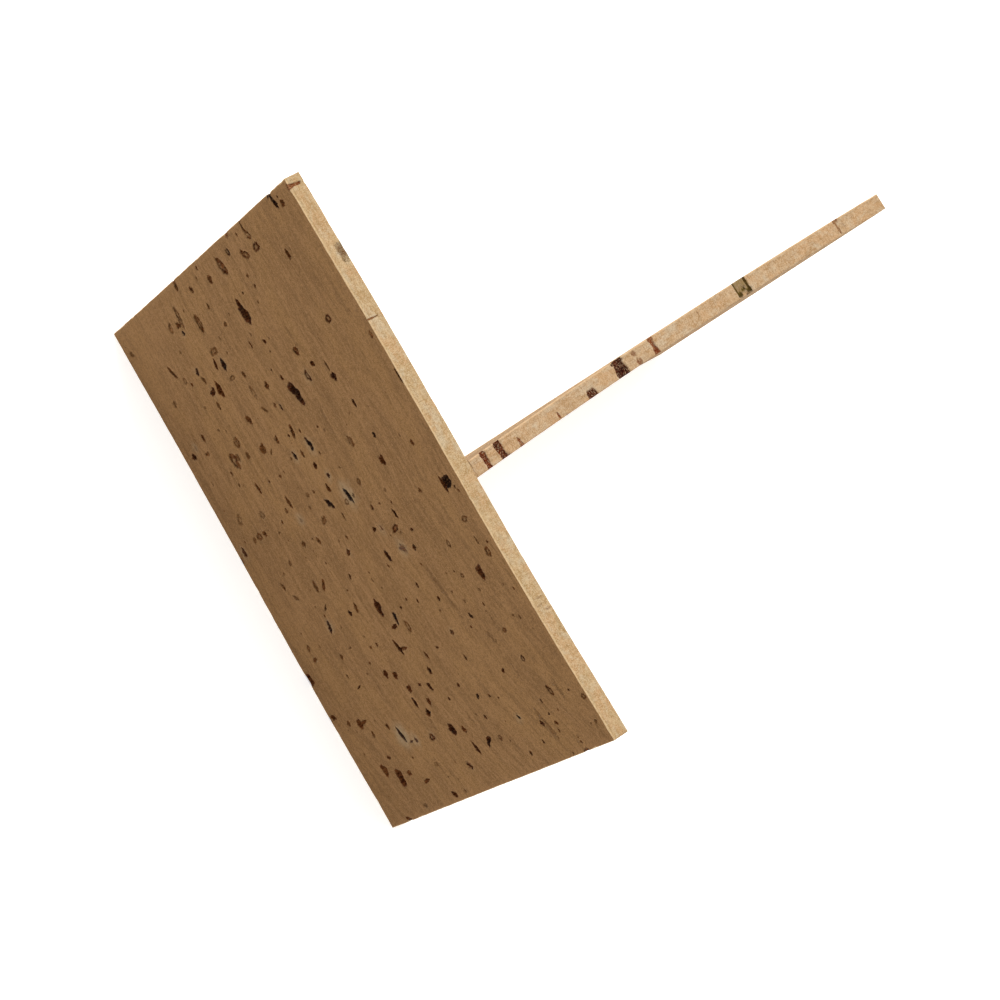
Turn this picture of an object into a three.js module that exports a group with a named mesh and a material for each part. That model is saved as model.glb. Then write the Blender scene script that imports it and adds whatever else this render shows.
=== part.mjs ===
// Hand-made cork sanding block: two equal sheets of natural cork glued into a T.
// The sole plate carries the sanding face. The handle web stands on its back,
// butted edge-on, and is what the fingers hold.
//
// Row frame, millimetres, +Z up. The block stands on the long edges of its sheets:
//   X  along the sole plate's length
//   Y  from the sanding face (lowest Y) out to the free end of the handle web
//   Z  up, across the width of both sheets
// The origin is on the floor under the middle of the whole block.

import * as THREE from 'three';

// ---- driving dimensions -------------------------------------------------
const SHEET_LENGTH = 100;      // both sheets are cut to the same size
const SHEET_WIDTH = 76;
const SHEET_THICKNESS = 3;
const ARRIS = 0.2;             // the cut edges are only just eased
const CORNER = 0.3;            // and so are the four corners in plan

const WEB_OFFSET = 3.0;        // root of the web, from the middle of the plate, towards +X
const WEB_LEAN_DEG = 2.5;      // the web leans this far towards -X, as glued by hand

const GLUE_FILM = 0.12;        // the film's thinnest side; the lean makes it a slight wedge
const FIT_GAP = 0.04;          // clearance between the film and each sheet
const GLUE_INSET = 0.15;       // the film stops this far short of the web's faces and edges

// ---- derived ------------------------------------------------------------
const lean = THREE.MathUtils.degToRad(WEB_LEAN_DEG);
const halfT = SHEET_THICKNESS / 2;
const rootDrop = halfT * Math.sin(lean);          // one root corner sits lower than the root's middle
const rootGap = GLUE_FILM + 2 * FIT_GAP;          // plate's back to the lowest root corner
const totalDepth = SHEET_THICKNESS + rootGap + 2 * rootDrop + SHEET_LENGTH * Math.cos(lean);
const faceY = -totalDepth / 2;                    // the sanding face
const backY = faceY + SHEET_THICKNESS;            // the plate's back
const rootY = backY + rootGap + rootDrop;         // middle of the web's root
const midZ = SHEET_WIDTH / 2;

// ---- materials ----------------------------------------------------------
const corkFace = new THREE.MeshStandardMaterial({ name: 'cork_face', color: 0xb08a5c, roughness: 0.9, metalness: 0 });
const corkWeb = new THREE.MeshStandardMaterial({ name: 'cork_web', color: 0xc8a173, roughness: 0.9, metalness: 0 });
const curedGlue = new THREE.MeshStandardMaterial({ name: 'cured_glue', color: 0x9b7a4e, roughness: 0.55, metalness: 0 });

// ---- geometry -----------------------------------------------------------

// A rectangle with small cut corners, centred on the origin.
function sheetOutline(a, b, cut) {
  const x = a / 2;
  const y = b / 2;
  const s = new THREE.Shape();
  s.moveTo(-x + cut, -y);
  s.lineTo(x - cut, -y);
  s.lineTo(x, -y + cut);
  s.lineTo(x, y - cut);
  s.lineTo(x - cut, y);
  s.lineTo(-x + cut, y);
  s.lineTo(-x, y - cut);
  s.lineTo(-x, -y + cut);
  s.closePath();
  return s;
}

// A sheet of cork lying in its own XY plane, its middle at the origin, with
// every arris eased by a narrow flat.
function corkSheet(a, b, thickness) {
  const g = new THREE.ExtrudeGeometry(sheetOutline(a, b, CORNER), {
    depth: thickness - 2 * ARRIS,
    steps: 1,
    curveSegments: 1,
    bevelEnabled: true,
    bevelThickness: ARRIS,
    bevelSize: ARRIS,
    bevelOffset: -ARRIS,
    bevelSegments: 1,
  });
  g.translate(0, 0, -(thickness - 2 * ARRIS) / 2);
  return g;
}

// ---- sole plate: its thickness runs along Y ------------------------------
const solePlate = new THREE.Mesh(corkSheet(SHEET_LENGTH, SHEET_WIDTH, SHEET_THICKNESS), corkFace);
solePlate.name = 'sole_plate';
solePlate.rotation.x = Math.PI / 2;
solePlate.position.set(0, faceY + halfT, midZ);

// ---- handle web: a second sheet, standing on the plate's back -------------
// The sheet's length runs along Y from its root, its width along Z and its
// thickness along X. The group turns it about the middle of its root.
const webGeometry = corkSheet(SHEET_WIDTH, SHEET_LENGTH, SHEET_THICKNESS);
webGeometry.rotateY(Math.PI / 2);
const handleWeb = new THREE.Mesh(webGeometry, corkWeb);
handleWeb.name = 'handle_web';
handleWeb.position.set(0, SHEET_LENGTH / 2, 0);
const webPivot = new THREE.Group();
webPivot.position.set(WEB_OFFSET, rootY, midZ);
webPivot.rotation.z = lean;
webPivot.add(handleWeb);

// ---- glue film: fills the slight wedge under the root ---------------------
const inX = halfT - GLUE_INSET;
const topAt = (dx) => rootY + dx * Math.tan(lean) - FIT_GAP / Math.cos(lean);
const film = new THREE.Shape();
film.moveTo(WEB_OFFSET - inX, backY + FIT_GAP);
film.lineTo(WEB_OFFSET + inX, backY + FIT_GAP);
film.lineTo(WEB_OFFSET + inX, topAt(inX));
film.lineTo(WEB_OFFSET - inX, topAt(-inX));
film.closePath();
const filmGeometry = new THREE.ExtrudeGeometry(film, {
  depth: SHEET_WIDTH - 2 * GLUE_INSET,
  steps: 1,
  bevelEnabled: false,
});
const glueFilm = new THREE.Mesh(filmGeometry, curedGlue);
glueFilm.name = 'glue_film';
glueFilm.position.set(0, 0, GLUE_INSET);

// ---- assembly -----------------------------------------------------------
const block = new THREE.Group();
block.add(solePlate, webPivot, glueFilm);

export default block;
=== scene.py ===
"""A cork sanding block: two sheets of natural cork glued into a T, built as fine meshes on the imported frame.

Sheet coordinates are millimetres: u along the sheet's length, v across its width from the top edge down,
w through its thickness. Each sheet is one closed mesh: two faces with their pores sunk into them, and a cut
edge band with its own streaks, chips and eased arrises.
"""

import math

import bpy
import numpy as np
from mathutils import Matrix, Vector
from mathutils.geometry import delaunay_2d_cdt


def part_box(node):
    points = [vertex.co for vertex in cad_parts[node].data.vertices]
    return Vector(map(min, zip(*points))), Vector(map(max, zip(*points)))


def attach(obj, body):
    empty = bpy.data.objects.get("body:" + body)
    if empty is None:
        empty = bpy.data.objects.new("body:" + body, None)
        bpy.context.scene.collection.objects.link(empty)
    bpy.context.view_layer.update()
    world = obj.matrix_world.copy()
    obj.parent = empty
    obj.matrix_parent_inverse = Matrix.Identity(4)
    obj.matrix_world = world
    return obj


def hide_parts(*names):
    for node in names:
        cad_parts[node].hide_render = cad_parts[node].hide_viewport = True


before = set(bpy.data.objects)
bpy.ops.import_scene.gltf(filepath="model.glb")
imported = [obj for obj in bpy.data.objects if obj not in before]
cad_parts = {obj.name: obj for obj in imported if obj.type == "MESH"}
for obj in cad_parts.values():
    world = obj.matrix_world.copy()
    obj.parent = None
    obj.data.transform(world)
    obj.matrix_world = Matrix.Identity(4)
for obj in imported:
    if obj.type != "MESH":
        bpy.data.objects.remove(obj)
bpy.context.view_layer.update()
MM = 0.001

# ---------------------------------------------------------------- sizes, from the frame
plate_lo, plate_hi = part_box("sole_plate")
LENGTH = (plate_hi.x - plate_lo.x) / MM
WIDTH = (plate_hi.z - plate_lo.z) / MM
THICK = (plate_hi.y - plate_lo.y) / MM
FACE_Y = plate_lo.y / MM
X0 = plate_lo.x / MM
TOP_Z = plate_hi.z / MM

LEAN = math.radians(2.5)          # the web leans towards -X
WEB_OFFSET = 3.0                  # middle of the web's root, from the middle of the plate
glue_lo, glue_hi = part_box("glue_film")
JOINT_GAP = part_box("handle_web")[0].y / MM - (FACE_Y + THICK)
ROOT_Y = FACE_Y + THICK + JOINT_GAP + THICK / 2 * math.sin(LEAN)
ROOT_U = WEB_OFFSET - X0          # the joint's line, along the plate's own length


# ---------------------------------------------------------------- small maths
def smooth(a, b, x):
    t = np.clip((x - a) / (b - a), 0.0, 1.0)
    return t * t * (3 - 2 * t)


class Noise:
    """Seeded value noise in three dimensions, about -1 to 1."""

    def __init__(self, seed):
        r = np.random.default_rng(seed)
        p = r.permutation(256)
        self.p = np.concatenate([p, p, p])
        self.g = r.uniform(-1, 1, 256)

    def __call__(self, x, y=0.0, z=0.0):
        x, y, z = np.broadcast_arrays(*(np.asarray(a, float) for a in (x, y, z)))
        xi, yi, zi = (np.floor(a).astype(int) for a in (x, y, z))
        fx, fy, fz = x - xi, y - yi, z - zi
        ux, uy, uz = (t * t * t * (t * (t * 6 - 15) + 10) for t in (fx, fy, fz))
        xi, yi, zi = xi & 255, yi & 255, zi & 255

        def corner(i, j, k):
            return self.g[self.p[self.p[self.p[(xi + i) & 255] + ((yi + j) & 255)] + ((zi + k) & 255)] & 255]

        c00 = corner(0, 0, 0) * (1 - ux) + corner(1, 0, 0) * ux
        c10 = corner(0, 1, 0) * (1 - ux) + corner(1, 1, 0) * ux
        c01 = corner(0, 0, 1) * (1 - ux) + corner(1, 0, 1) * ux
        c11 = corner(0, 1, 1) * (1 - ux) + corner(1, 1, 1) * ux
        return (c00 * (1 - uy) + c10 * uy) * (1 - uz) + (c01 * (1 - uy) + c11 * uy) * uz

    def fbm(self, x, y=0.0, z=0.0, octaves=3):
        out, amp, k = 0.0, 1.0, 1.0
        for i in range(octaves):
            out = out + amp * self(x * k + 17.3 * i, y * k + 5.1 * i, z * k)
            amp, k = amp * 0.5, k * 2.03
        return out / 1.75


# ---------------------------------------------------------------- pores
# A pore (lenticel) on a face: u, v of its middle, its length and width, its turn in degrees, and its kind.
#   L  a sunk lens, filled with crumbled bark      R  a ring crack round a plug of sound cork
#   S  a narrow open slit                          G  a grey stain with hardly any depth
# then its tone (0 black, 1 red-brown), its strength, and its pale halo. The largest also have their outline, as
# twelve radii in millimetres, every 30 degrees from their own long axis.
SOLE_PORES = [
    (11.8, 31.9, 5.2, 2.2, -3, "L", 0.23, 1, 0.1, (2.4, 1.9, 1.3, 1.1, 1, 1.6, 2.8, 1.3, 0.9, 1.2, 1.4, 1.8)),
    (27.6, 30.4, 5.1, 2.1, -14, "L", 0.2, 1, 0.1, (2.6, 1.6, 1.1, 0.6, 1.2, 2, 2.4, 1.8, 1.1, 1.2, 1.2, 1.4)),
    (92.4, 64.3, 4.4, 2, -3, "L", 0.41, 0.97, 0, (2, 1.8, 0.9, 0.8, 1, 1.6, 2, 1.6, 1.2, 1, 1, 1.6)),
    (30.9, 60.2, 3.5, 2.4, -15, "R", 0.65, 0.89, 0.2, (1.7, 1.4, 1.2, 0.9, 1.1, 1.6, 1.7, 1.4, 1.3, 1.2, 1.1, 1.6)),
    (3.8, 30.6, 4.1, 2, -16, "R", 0.59, 0.98, 0.1, (1.7, 1.2, 1, 0.6, 1.1, 1.3, 2, 1.5, 1, 0.9, 1, 1.5)),
    (64.8, 41.5, 3.8, 1.8, -2, "L", 0.32, 1, 0, (2.1, 1.1, 0.9, 0.9, 1, 1.3, 1.7, 1.3, 1.2, 0.9, 0.7, 0.8)),
    (19.5, 52.2, 3.6, 1.8, -3, "L", 0.41, 1, 0, (2, 0.9, 1.1, 1, 0.9, 1, 1.9, 1.2, 1, 0.8, 0.8, 1.1)),
    (8.5, 46.8, 4, 1.6, 10, "R", 0.67, 0.86, 0, (2, 1.2, 0.7, 0.7, 1, 1.6, 1.7, 1.3, 0.8, 0.8, 0.8, 1.2)),
    (5.5, 52, 4.8, 1.3, 6, "R", 0.79, 0.86, 0.1, (2, 1.5, 1, 0.4, 0.6, 0.8, 2.4, 1.2, 0.6, 0.6, 0.7, 1)),
    (58.2, 25.1, 2.9, 2, -42, "G", 0.5, 0.92, 0.6, (1.6, 1.1, 0.8, 0.8, 1.2, 1.4, 1.1, 1.5, 0.8, 1, 1, 1)),
    (52.6, 3.5, 2.6, 2.2, 0, "L", 0, 1, 0, (1.1, 1.4, 1.2, 1.1, 1.2, 1.2, 1.1, 1.2, 1.2, 1.2, 1.1, 1)),
    (90.2, 68, 2.9, 1.8, -14, "L", 0.57, 0.83, 0, (1.3, 1.4, 0.9, 0.8, 0.7, 1.2, 1.4, 1.1, 1, 1, 1, 1.1)),
    (28.5, 56.3, 2.3, 2.1, 0, "R", 0.8, 0.77, 0, (1, 1.1, 1.2, 1, 1, 1.2, 0.8, 1.2, 1, 1.2, 1.1, 0.9)),
    (70.3, 75.1, 2.6, 1.8, -6, "L", 0.49, 0.87, 0, (1.1, 1.2, 1, 0.8, 0.8, 1, 1.4, 1.1, 0.8, 0.8, 1.1, 1.2)),
    (46.3, 32, 3.8, 1.1, -18, "S", 0.04, 1, 0.9),
    (88.4, 40.7, 2.6, 1.6, -22, "L", 0.2, 1, 0, (1.2, 1.1, 0.9, 0.7, 1, 1, 1.4, 1, 0.9, 0.8, 0.9, 1.1)),
    (32, 49.4, 2.3, 1.8, 0, "L", 0.73, 0.81, 0, (0.8, 1, 1.2, 1, 0.9, 0.9, 1, 1.3, 1, 1, 0.9, 1)),
    (67.4, 8.2, 2.4, 1.7, 1, "L", 0.34, 0.97, 0.1, (1.4, 1, 0.9, 0.9, 1, 1.1, 1.1, 1.2, 1, 0.8, 0.9, 1.1)),
    (81, 67.3, 2.4, 1.7, -9, "L", 0.51, 0.89, 0, (1.2, 1.1, 0.9, 0.8, 0.8, 1, 1.2, 1, 0.8, 0.9, 1, 0.9)),
    (35.0, 0.40, 3.4, 0.5, -3, "S", 0.55, 0.85, 0),
    (4.7, 22.1, 2.9, 1.4, -54, "R", 0.68, 0.9, 0, (1.4, 1, 0.8, 0.7, 0.8, 1, 1.3, 1.2, 0.4, 0.6, 0.7, 1.1)),
    (13.7, 47.4, 1.4, 2.8, 5, "R", 0.88, 0.72, 0),
    (2.5, 18.2, 2.8, 1.4, -19, "R", 0.7, 0.8, 0.1, (0.9, 1.1, 0.8, 0.6, 0.8, 0.8, 1.5, 0.6, 0.4, 0.6, 0.6, 1.1)),
    (39.8, 69.1, 2.6, 1.5, 44, "R", 0.96, 0.57, 0, (1.2, 1.2, 0.7, 0.5, 0.8, 1.1, 1.2, 1, 0.6, 0.6, 1, 1)),
    (19, 54.6, 2.7, 1.3, 60, "L", 0.39, 1, 0.2, (1.3, 1.3, 0.6, 0.4, 0.3, 1, 1, 0.8, 0.8, 0.6, 0.6, 0.8)),
    (16.5, 46.7, 2.5, 1.4, 5, "L", 0.05, 1, 0.3, (1.2, 1, 0.7, 0.7, 0.6, 0.9, 1.3, 0.9, 0.7, 0.8, 0.8, 0.9)),
    (85.8, 56.5, 3.5, 1, -15, "S", 0.24, 1, 1),
    (26.4, 24.4, 2.9, 1.2, -12, "R", 0.37, 1, 0.3, (1.2, 0.6, 0.7, 0.6, 0.6, 0.8, 1, 1.1, 0.5, 0.4, 0.6, 1)),
    (92.6, 32.5, 2.6, 1.3, 40, "L", 0.17, 1, 0, (1.4, 0.8, 0.5, 0.5, 0.8, 0.9, 1.1, 1, 0.6, 0.4, 0.3, 0.5)),
    (35.7, 34.8, 3, 1.1, -15, "L", 0.13, 1, 0.5, (1.3, 1.2, 0.3, 0.5, 0.6, 0.8, 1.8, 0.6, 0.5, 0.6, 0.8, 1)),
    (56.5, 56.8, 2.9, 1.1, -2, "L", 0.78, 0.7, 0.1), (44.4, 17.2, 2.1, 1.5, 29, "L", 0.44, 0.98, 0),
    (44.1, 65.8, 1.3, 2.4, 0, "R", 0.72, 0.74, 0.1), (45.8, 38.7, 2.2, 1.4, -42, "L", 0.05, 1, 0.3),
    (5, 17.9, 2.2, 1.4, 63, "R", 0.49, 0.96, 0.1), (95.1, 41.8, 1.9, 1.6, 0, "G", 0.56, 0.87, 0.2),
    (1.7, 6.1, 3, 1, -12, "L", 0, 1, 0), (39.1, 22.9, 2.3, 1.3, -12, "R", 0.78, 0.71, 0.1),
    (52.8, 4.8, 3.7, 0.8, -7, "L", 0.41, 0.97, 0), (26.5, 48.6, 2.1, 1.4, -19, "L", 0.68, 0.85, 0),
    (72.3, 42.3, 2.9, 1, -13, "S", 0.33, 1, 0), (32.4, 37.7, 2.4, 1.2, 9, "L", 0.66, 0.9, 0.1),
    (45.1, 73.5, 2.4, 1.2, 3, "L", 0.52, 0.89, 0.5), (47.6, 43.1, 2.2, 1.3, 56, "L", 0.9, 0.66, 0),
    (6, 56.5, 2, 1.4, 29, "R", 0.94, 0.76, 0.1), (12.1, 64, 2.8, 1, -24, "L", 0.74, 0.83, 0.1),
    (29, 17.3, 1.7, 1.6, 0, "L", 0.24, 1, 0), (57, 54.2, 2.7, 1, 46, "L", 0.68, 0.76, 0),
    (41.9, 50.6, 2.4, 1.1, 3, "L", 0.76, 0.79, 0), (23.4, 42.6, 2.4, 1.1, -1, "R", 0.98, 0.65, 0),
    (69.8, 36.2, 2.2, 1.2, -11, "R", 0.78, 0.72, 0), (21.1, 10, 2, 1.3, 64, "R", 0.39, 0.95, 0.1),
    (65.2, 3.3, 1.7, 1.5, 0, "R", 0.61, 0.8, 0), (63.7, 59.5, 2.3, 1.1, 22, "L", 0.16, 1, 0.5),
    (4, 36.1, 1.8, 1.4, 30, "L", 0.68, 0.95, 0.1), (58.1, 30.5, 2.1, 1.2, -18, "L", 0.26, 1, 0.1),
    (75.2, 50.6, 2.1, 1.2, 3, "L", 0.43, 0.97, 0), (31.4, 55.1, 1.8, 1.4, 69, "L", 0.87, 0.73, 0),
    (92.9, 37, 2.7, 0.9, -16, "L", 0.4, 0.99, 0), (84.2, 44.8, 1.7, 1.4, 0, "L", 0.24, 1, 0),
    (41.2, 61.1, 1.7, 1.4, 0, "R", 1, 0.55, 0.2), (76.1, 48, 1.8, 1.3, 23, "L", 0.44, 0.95, 0),
    (1.1, 47.4, 1.8, 1.3, 40, "L", 0.88, 0.82, 0.1), (88.2, 47.9, 1.3, 1.8, 10, "R", 0.7, 0.77, 0.3),
    (15.7, 49.1, 2.6, 0.9, 17, "L", 0.44, 1, 0), (54.8, 24.2, 1.1, 2.1, -5, "R", 0.41, 1, 0),
    (67.5, 38.3, 2.3, 1, 8, "L", 0.11, 1, 0.3), (45.5, 50, 1.9, 1.2, 6, "G", 0.93, 0.63, 0.6),
    (22.1, 23.6, 1.5, 1.5, 0, "R", 0.55, 0.9, 0), (26.1, 72.5, 1.6, 1.4, 0, "L", 0.33, 1, 0.1),
    (79.2, 46.2, 1.7, 1.3, 51, "L", 0.46, 0.9, 0), (89, 8.5, 2.2, 1, -23, "R", 0.6, 0.84, 0),
    (63, 48.2, 1.8, 1.2, 17, "L", 0.78, 0.7, 0), (23.7, 37.5, 1.5, 1.4, 0, "L", 0.67, 0.84, 0.1),
    (78, 74.6, 1.6, 1.3, -55, "L", 0.5, 0.89, 0), (87.6, 53, 1.7, 1.2, -18, "G", 0.74, 0.78, 0.7),
    (9.2, 10.5, 2, 1, 6, "L", 0.48, 0.94, 0), (59, 4.5, 1.1, 1.8, 0, "R", 0.77, 0.79, 0.1),
    (37, 57.6, 2.2, 0.9, -3, "L", 0.62, 0.9, 0), (5, 73.8, 1.5, 1.3, 0, "L", 1, 0.6, 0.1),
    (6.4, 53.6, 1.6, 1.2, 62, "L", 0.76, 0.91, 0), (98.6, 51, 1.6, 1.2, -51, "L", 0.39, 1, 0),
    (81.8, 46.9, 1.9, 1, -11, "L", 0.23, 1, 0), (32.1, 43.6, 2.1, 0.9, 22, "L", 0.79, 0.75, 0),
    (30.7, 58.5, 1.7, 1.1, 4, "L", 0.93, 0.64, 0.2), (80.3, 39.9, 1.8, 1, -24, "L", 0.29, 1, 0),
    (49.2, 53.2, 1.5, 1.2, 0, "L", 0.8, 0.74, 0.1), (92.3, 60.9, 1.5, 1.2, -60, "L", 0.72, 0.77, 0),
    (80.1, 70.8, 1.5, 1.2, 80, "L", 0.82, 0.66, 0), (36, 41, 1.9, 0.9, -19, "L", 0.18, 1, 0.5),
    (68.8, 40, 0.9, 1.9, 0, "L", 0.41, 0.95, 0.1), (24.4, 66.1, 1.7, 1, 0, "L", 0.65, 0.88, 0.1),
    (50, 48.1, 1.7, 1, -19, "L", 0.79, 0.75, 0), (16.5, 55.4, 1.7, 1, -15, "L", 0.87, 0.76, 0),
    (54.3, 41.2, 1.3, 1.3, 0, "L", 0.61, 0.91, 0.3), (44.2, 67.9, 1.3, 1.3, 0, "L", 0.87, 0.63, 0),
    (43.5, 36.6, 1.4, 1.2, 0, "L", 0.6, 0.95, 0), (14.6, 61.5, 1.4, 1.2, 0, "R", 1, 0.55, 0),
    (2.6, 4.1, 1.4, 1.2, 0, "L", 0.61, 0.95, 0), (82.5, 42.7, 1.4, 1.2, 0, "L", 0.54, 0.91, 0),
    (25, 70.5, 1.4, 1.2, 0, "G", 1, 0.55, 0.5), (39.2, 36.7, 1.5, 1.1, -13, "L", 0.38, 1, 0),
    (21.5, 55.4, 1.5, 1.1, -4, "L", 0.85, 0.74, 0), (89.2, 37.4, 1.5, 1.1, -20, "L", 0.56, 0.86, 0),
    (65.2, 69.9, 1.5, 1.1, 13, "L", 0.85, 0.64, 0), (16.7, 69, 1.5, 1.1, 3, "L", 1, 0.57, 0),
    (19.2, 46.3, 0.9, 1.8, -10, "R", 0.96, 0.7, 0), (56.5, 64.9, 1.8, 0.9, -48, "L", 0.95, 0.6, 0.1),
    (72.7, 41, 0.7, 2.3, 5, "L", 0.61, 0.85, 0.1), (94.7, 57, 0.8, 2, -8, "L", 0.49, 0.91, 0),
    (27.1, 67.5, 0.8, 2, 8, "L", 0.87, 0.7, 0), (3.3, 43.3, 1.3, 1.2, 0, "L", 0.73, 0.93, 0),
    (44.2, 63.5, 1.3, 1.2, 0, "L", 0.61, 0.83, 0.1), (14.7, 56, 1.4, 1.1, 42, "L", 0.24, 1, 0.3),
    (81, 65.7, 0.7, 2.2, 0, "L", 0.63, 0.81, 0), (77.9, 37.3, 1.5, 1, -2, "L", 0.3, 1, 0),
    (53.7, 67, 1.5, 1, -6, "L", 0.85, 0.69, 0), (26.7, 42.2, 1.8, 0.8, -45, "L", 0.89, 0.68, 0),
    (67.5, 69.9, 0.9, 1.6, -10, "L", 0.73, 0.74, 0), (45.3, 26.9, 1.3, 1.1, 0, "R", 0.84, 0.7, 0.1),
    (53.7, 27.9, 1.7, 0.8, -7, "G", 0.34, 1, 0.4), (36.4, 38.4, 1.7, 0.8, 3, "L", 0.8, 0.8, 0),
    (25.3, 21.1, 1.2, 1.1, 0, "L", 0.45, 0.98, 0), (19.9, 42.3, 1.3, 1, -13, "L", 0.82, 0.79, 0),
    (63.3, 50.8, 1.3, 1, 0, "L", 0.27, 1, 0), (73.9, 24.9, 1, 1.3, -30, "L", 0.72, 0.75, 0.3),
    (91.9, 1.1, 1.3, 1, -86, "R", 0.72, 0.81, 0), (27.1, 1.4, 1.6, 0.8, 10, "R", 0.74, 0.72, 0),
    (52.7, 21.9, 1.6, 0.8, -12, "L", 0.26, 1, 0), (34.3, 16, 1.8, 0.7, -9, "L", 0.35, 1, 0),
    (50.8, 60.7, 1.1, 1.1, 0, "L", 0.94, 0.62, 0), (1.1, 18.5, 2.4, 0.5, 0, "S", 0.8, 0.74, 0),
    (27, 17.5, 2.4, 0.5, 0, "S", 0.99, 0.57, 0), (69.2, 61, 1.2, 1, 0, "L", 0.76, 0.76, 0),
    (83.4, 59.2, 1.2, 1, 0, "L", 0.68, 0.9, 0), (60.5, 57.5, 2, 0.6, 56, "S", 0.87, 0.65, 0.1),
    (83.6, 65, 1.2, 1, 0, "L", 0.8, 0.7, 0), (77.3, 10.9, 1.3, 0.9, 85, "R", 0.73, 0.73, 0.1),
    (42.9, 52.8, 1.3, 0.9, 24, "L", 0.84, 0.7, 0), (93.3, 15.5, 1.3, 0.9, -23, "L", 0.41, 0.93, 0.1),
    (99.4, 69.4, 1.4, 0.8, -76, "L", 0.56, 0.83, 0), (7.3, 41.2, 1.4, 0.8, 1, "L", 0.98, 0.67, 0),
    (75.4, 35.7, 1.6, 0.7, -14, "S", 0.55, 0.89, 0), (44.6, 6.7, 1.1, 1, 0, "L", 0.73, 0.78, 0),
    (59, 21.9, 1.1, 1, 0, "L", 0.24, 1, 0), (40.3, 15.5, 1.2, 0.9, -13, "L", 0.1, 1, 0),
    (53.2, 30.1, 1.2, 0.9, 53, "L", 0.39, 1, 0.1), (88.4, 64.4, 1.2, 0.9, -86, "L", 0.61, 0.82, 0),
    (61.1, 12.2, 1.2, 0.9, 7, "R", 0.71, 0.76, 0.1), (41.7, 34.5, 1.1, 0.9, 0, "L", 0.38, 1, 0.6),
    (72.9, 17.3, 1.2, 0.8, -34, "L", 0.18, 1, 0), (85.1, 28.2, 1, 0.9, 0, "L", 0.13, 1, 0),
    (17.7, 30.8, 1.1, 0.8, -34, "L", 0.4, 1, 0), (8, 53.3, 1.1, 0.8, -26, "L", 0.18, 1, 0.3),
    (2.6, 26.5, 1.3, 1.2, 0, "R", 0.1, 0.75, 0.1), (7.6, 24.8, 0.9, 0.7, 0, "L", 0.7, 0.6, 0),
    (9.7, 24.4, 0.8, 0.6, 0, "L", 0.5, 0.8, 0), (12, 26.2, 0.6, 0.5, 0, "L", 0.8, 0.6, 0),
    (19.6, 30.9, 0.5, 0.5, 0, "L", 0.6, 0.7, 0), (24.2, 31.9, 1, 0.9, 20, "L", 0.45, 0.8, 0),
    (22.1, 33.6, 0.7, 0.5, 0, "L", 0.8, 0.6, 0), (15.4, 33.6, 0.8, 0.5, 0, "L", 0.9, 0.5, 0),
    (16.7, 35.3, 1.3, 0.6, 0, "L", 0.7, 0.8, 0), (10.5, 36.4, 0.7, 0.5, 0, "L", 0.9, 0.5, 0),
    (1.15, 38.05, 1, 0.6, 0, "L", 0.6, 0.8, 0), (11.4, 39.2, 1.3, 1, 50, "L", 0.8, 0.62, 0),
    (28.05, 36.95, 1.3, 0.6, -5, "L", 0.2, 0.75, 0.2), (27.15, 38.4, 1.1, 0.8, 0, "L", 0.7, 0.65, 0),
    (34.1, 29.7, 0.6, 0.6, 0, "L", 0.6, 0.7, 0), (37.9, 33.3, 0.7, 0.5, 0, "L", 0.6, 0.75, 0),
    (33.05, 35.4, 1, 0.6, 0, "L", 0.8, 0.6, 0), (41.6, 30, 0.6, 0.5, 0, "L", 0.9, 0.5, 0),
    (32.6, 39.4, 0.7, 0.6, 0, "L", 0.35, 0.9, 0), (48.7, 36.7, 1.8, 0.5, 0, "L", 0.8, 0.55, 0),
    (47, 33.5, 1.3, 1.1, 0, "R", 0.8, 0.6, 0), (46.7, 30.6, 1, 0.8, 0, "L", 0.9, 0.5, 0),
    (49.9, 27.2, 0.9, 0.7, 0, "R", 0.6, 0.7, 0), (42.7, 41.4, 0.8, 0.6, 0, "L", 0.7, 0.65, 0),
    (42.6, 43.7, 1, 1.4, 0, "L", 0.95, 0.5, 0), (44.6, 45.2, 0.9, 0.7, 0, "L", 0.9, 0.55, 0),
    (36.05, 42.5, 0.7, 0.6, 0, "L", 0.9, 0.5, 0), (12.6, 43.2, 0.8, 0.5, 0, "L", 0.9, 0.5, 0),
    (15.3, 43.5, 0.7, 0.5, 0, "L", 0.9, 0.5, 0), (33.2, 47.4, 1.7, 0.6, 55, "L", 0.85, 0.55, 0),
    (37.2, 46.9, 0.7, 0.5, 0, "L", 0.9, 0.5, 0), (37.4, 48.8, 0.7, 1, 0, "L", 0.7, 0.7, 0),
    (5.1, 49.3, 0.7, 0.5, 0, "L", 0.8, 0.5, 0), (37.1, 53, 0.5, 0.8, 0, "L", 0.5, 0.8, 0),
    (44.1, 56, 0.7, 0.7, 0, "L", 0.6, 0.75, 0), (45.4, 58.8, 0.6, 0.9, 0, "L", 0.9, 0.5, 0),
    (15.8, 59.9, 0.9, 0.7, 20, "L", 0.6, 0.8, 0), (10.2, 57.7, 0.8, 0.6, 0, "L", 0.9, 0.45, 0),
    (20.4, 59.9, 0.7, 0.9, 0, "L", 0.95, 0.45, 0), (24.9, 59.7, 0.6, 0.9, 0, "L", 0.95, 0.45, 0),
    (32.3, 63.3, 0.9, 0.7, 0, "L", 0.7, 0.7, 0), (30.4, 58.3, 0.9, 0.7, 0, "L", 0.8, 0.6, 0),
    (34.7, 63.05, 0.9, 0.7, 0, "L", 0.8, 0.55, 0), (63.8, 2, 0.5, 0.6, 0, "L", 0.4, 0.8, 0),
    (62.9, 4.5, 2.4, 0.5, -6, "L", 0.85, 0.5, 0), (53.9, 2.3, 0.7, 0.4, 0, "L", 0.4, 0.8, 0),
    (54.7, 1.85, 0.9, 0.5, -20, "L", 0.6, 0.6, 0), (72.1, 2.2, 0.6, 0.7, 0, "L", 0.7, 0.6, 0),
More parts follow.
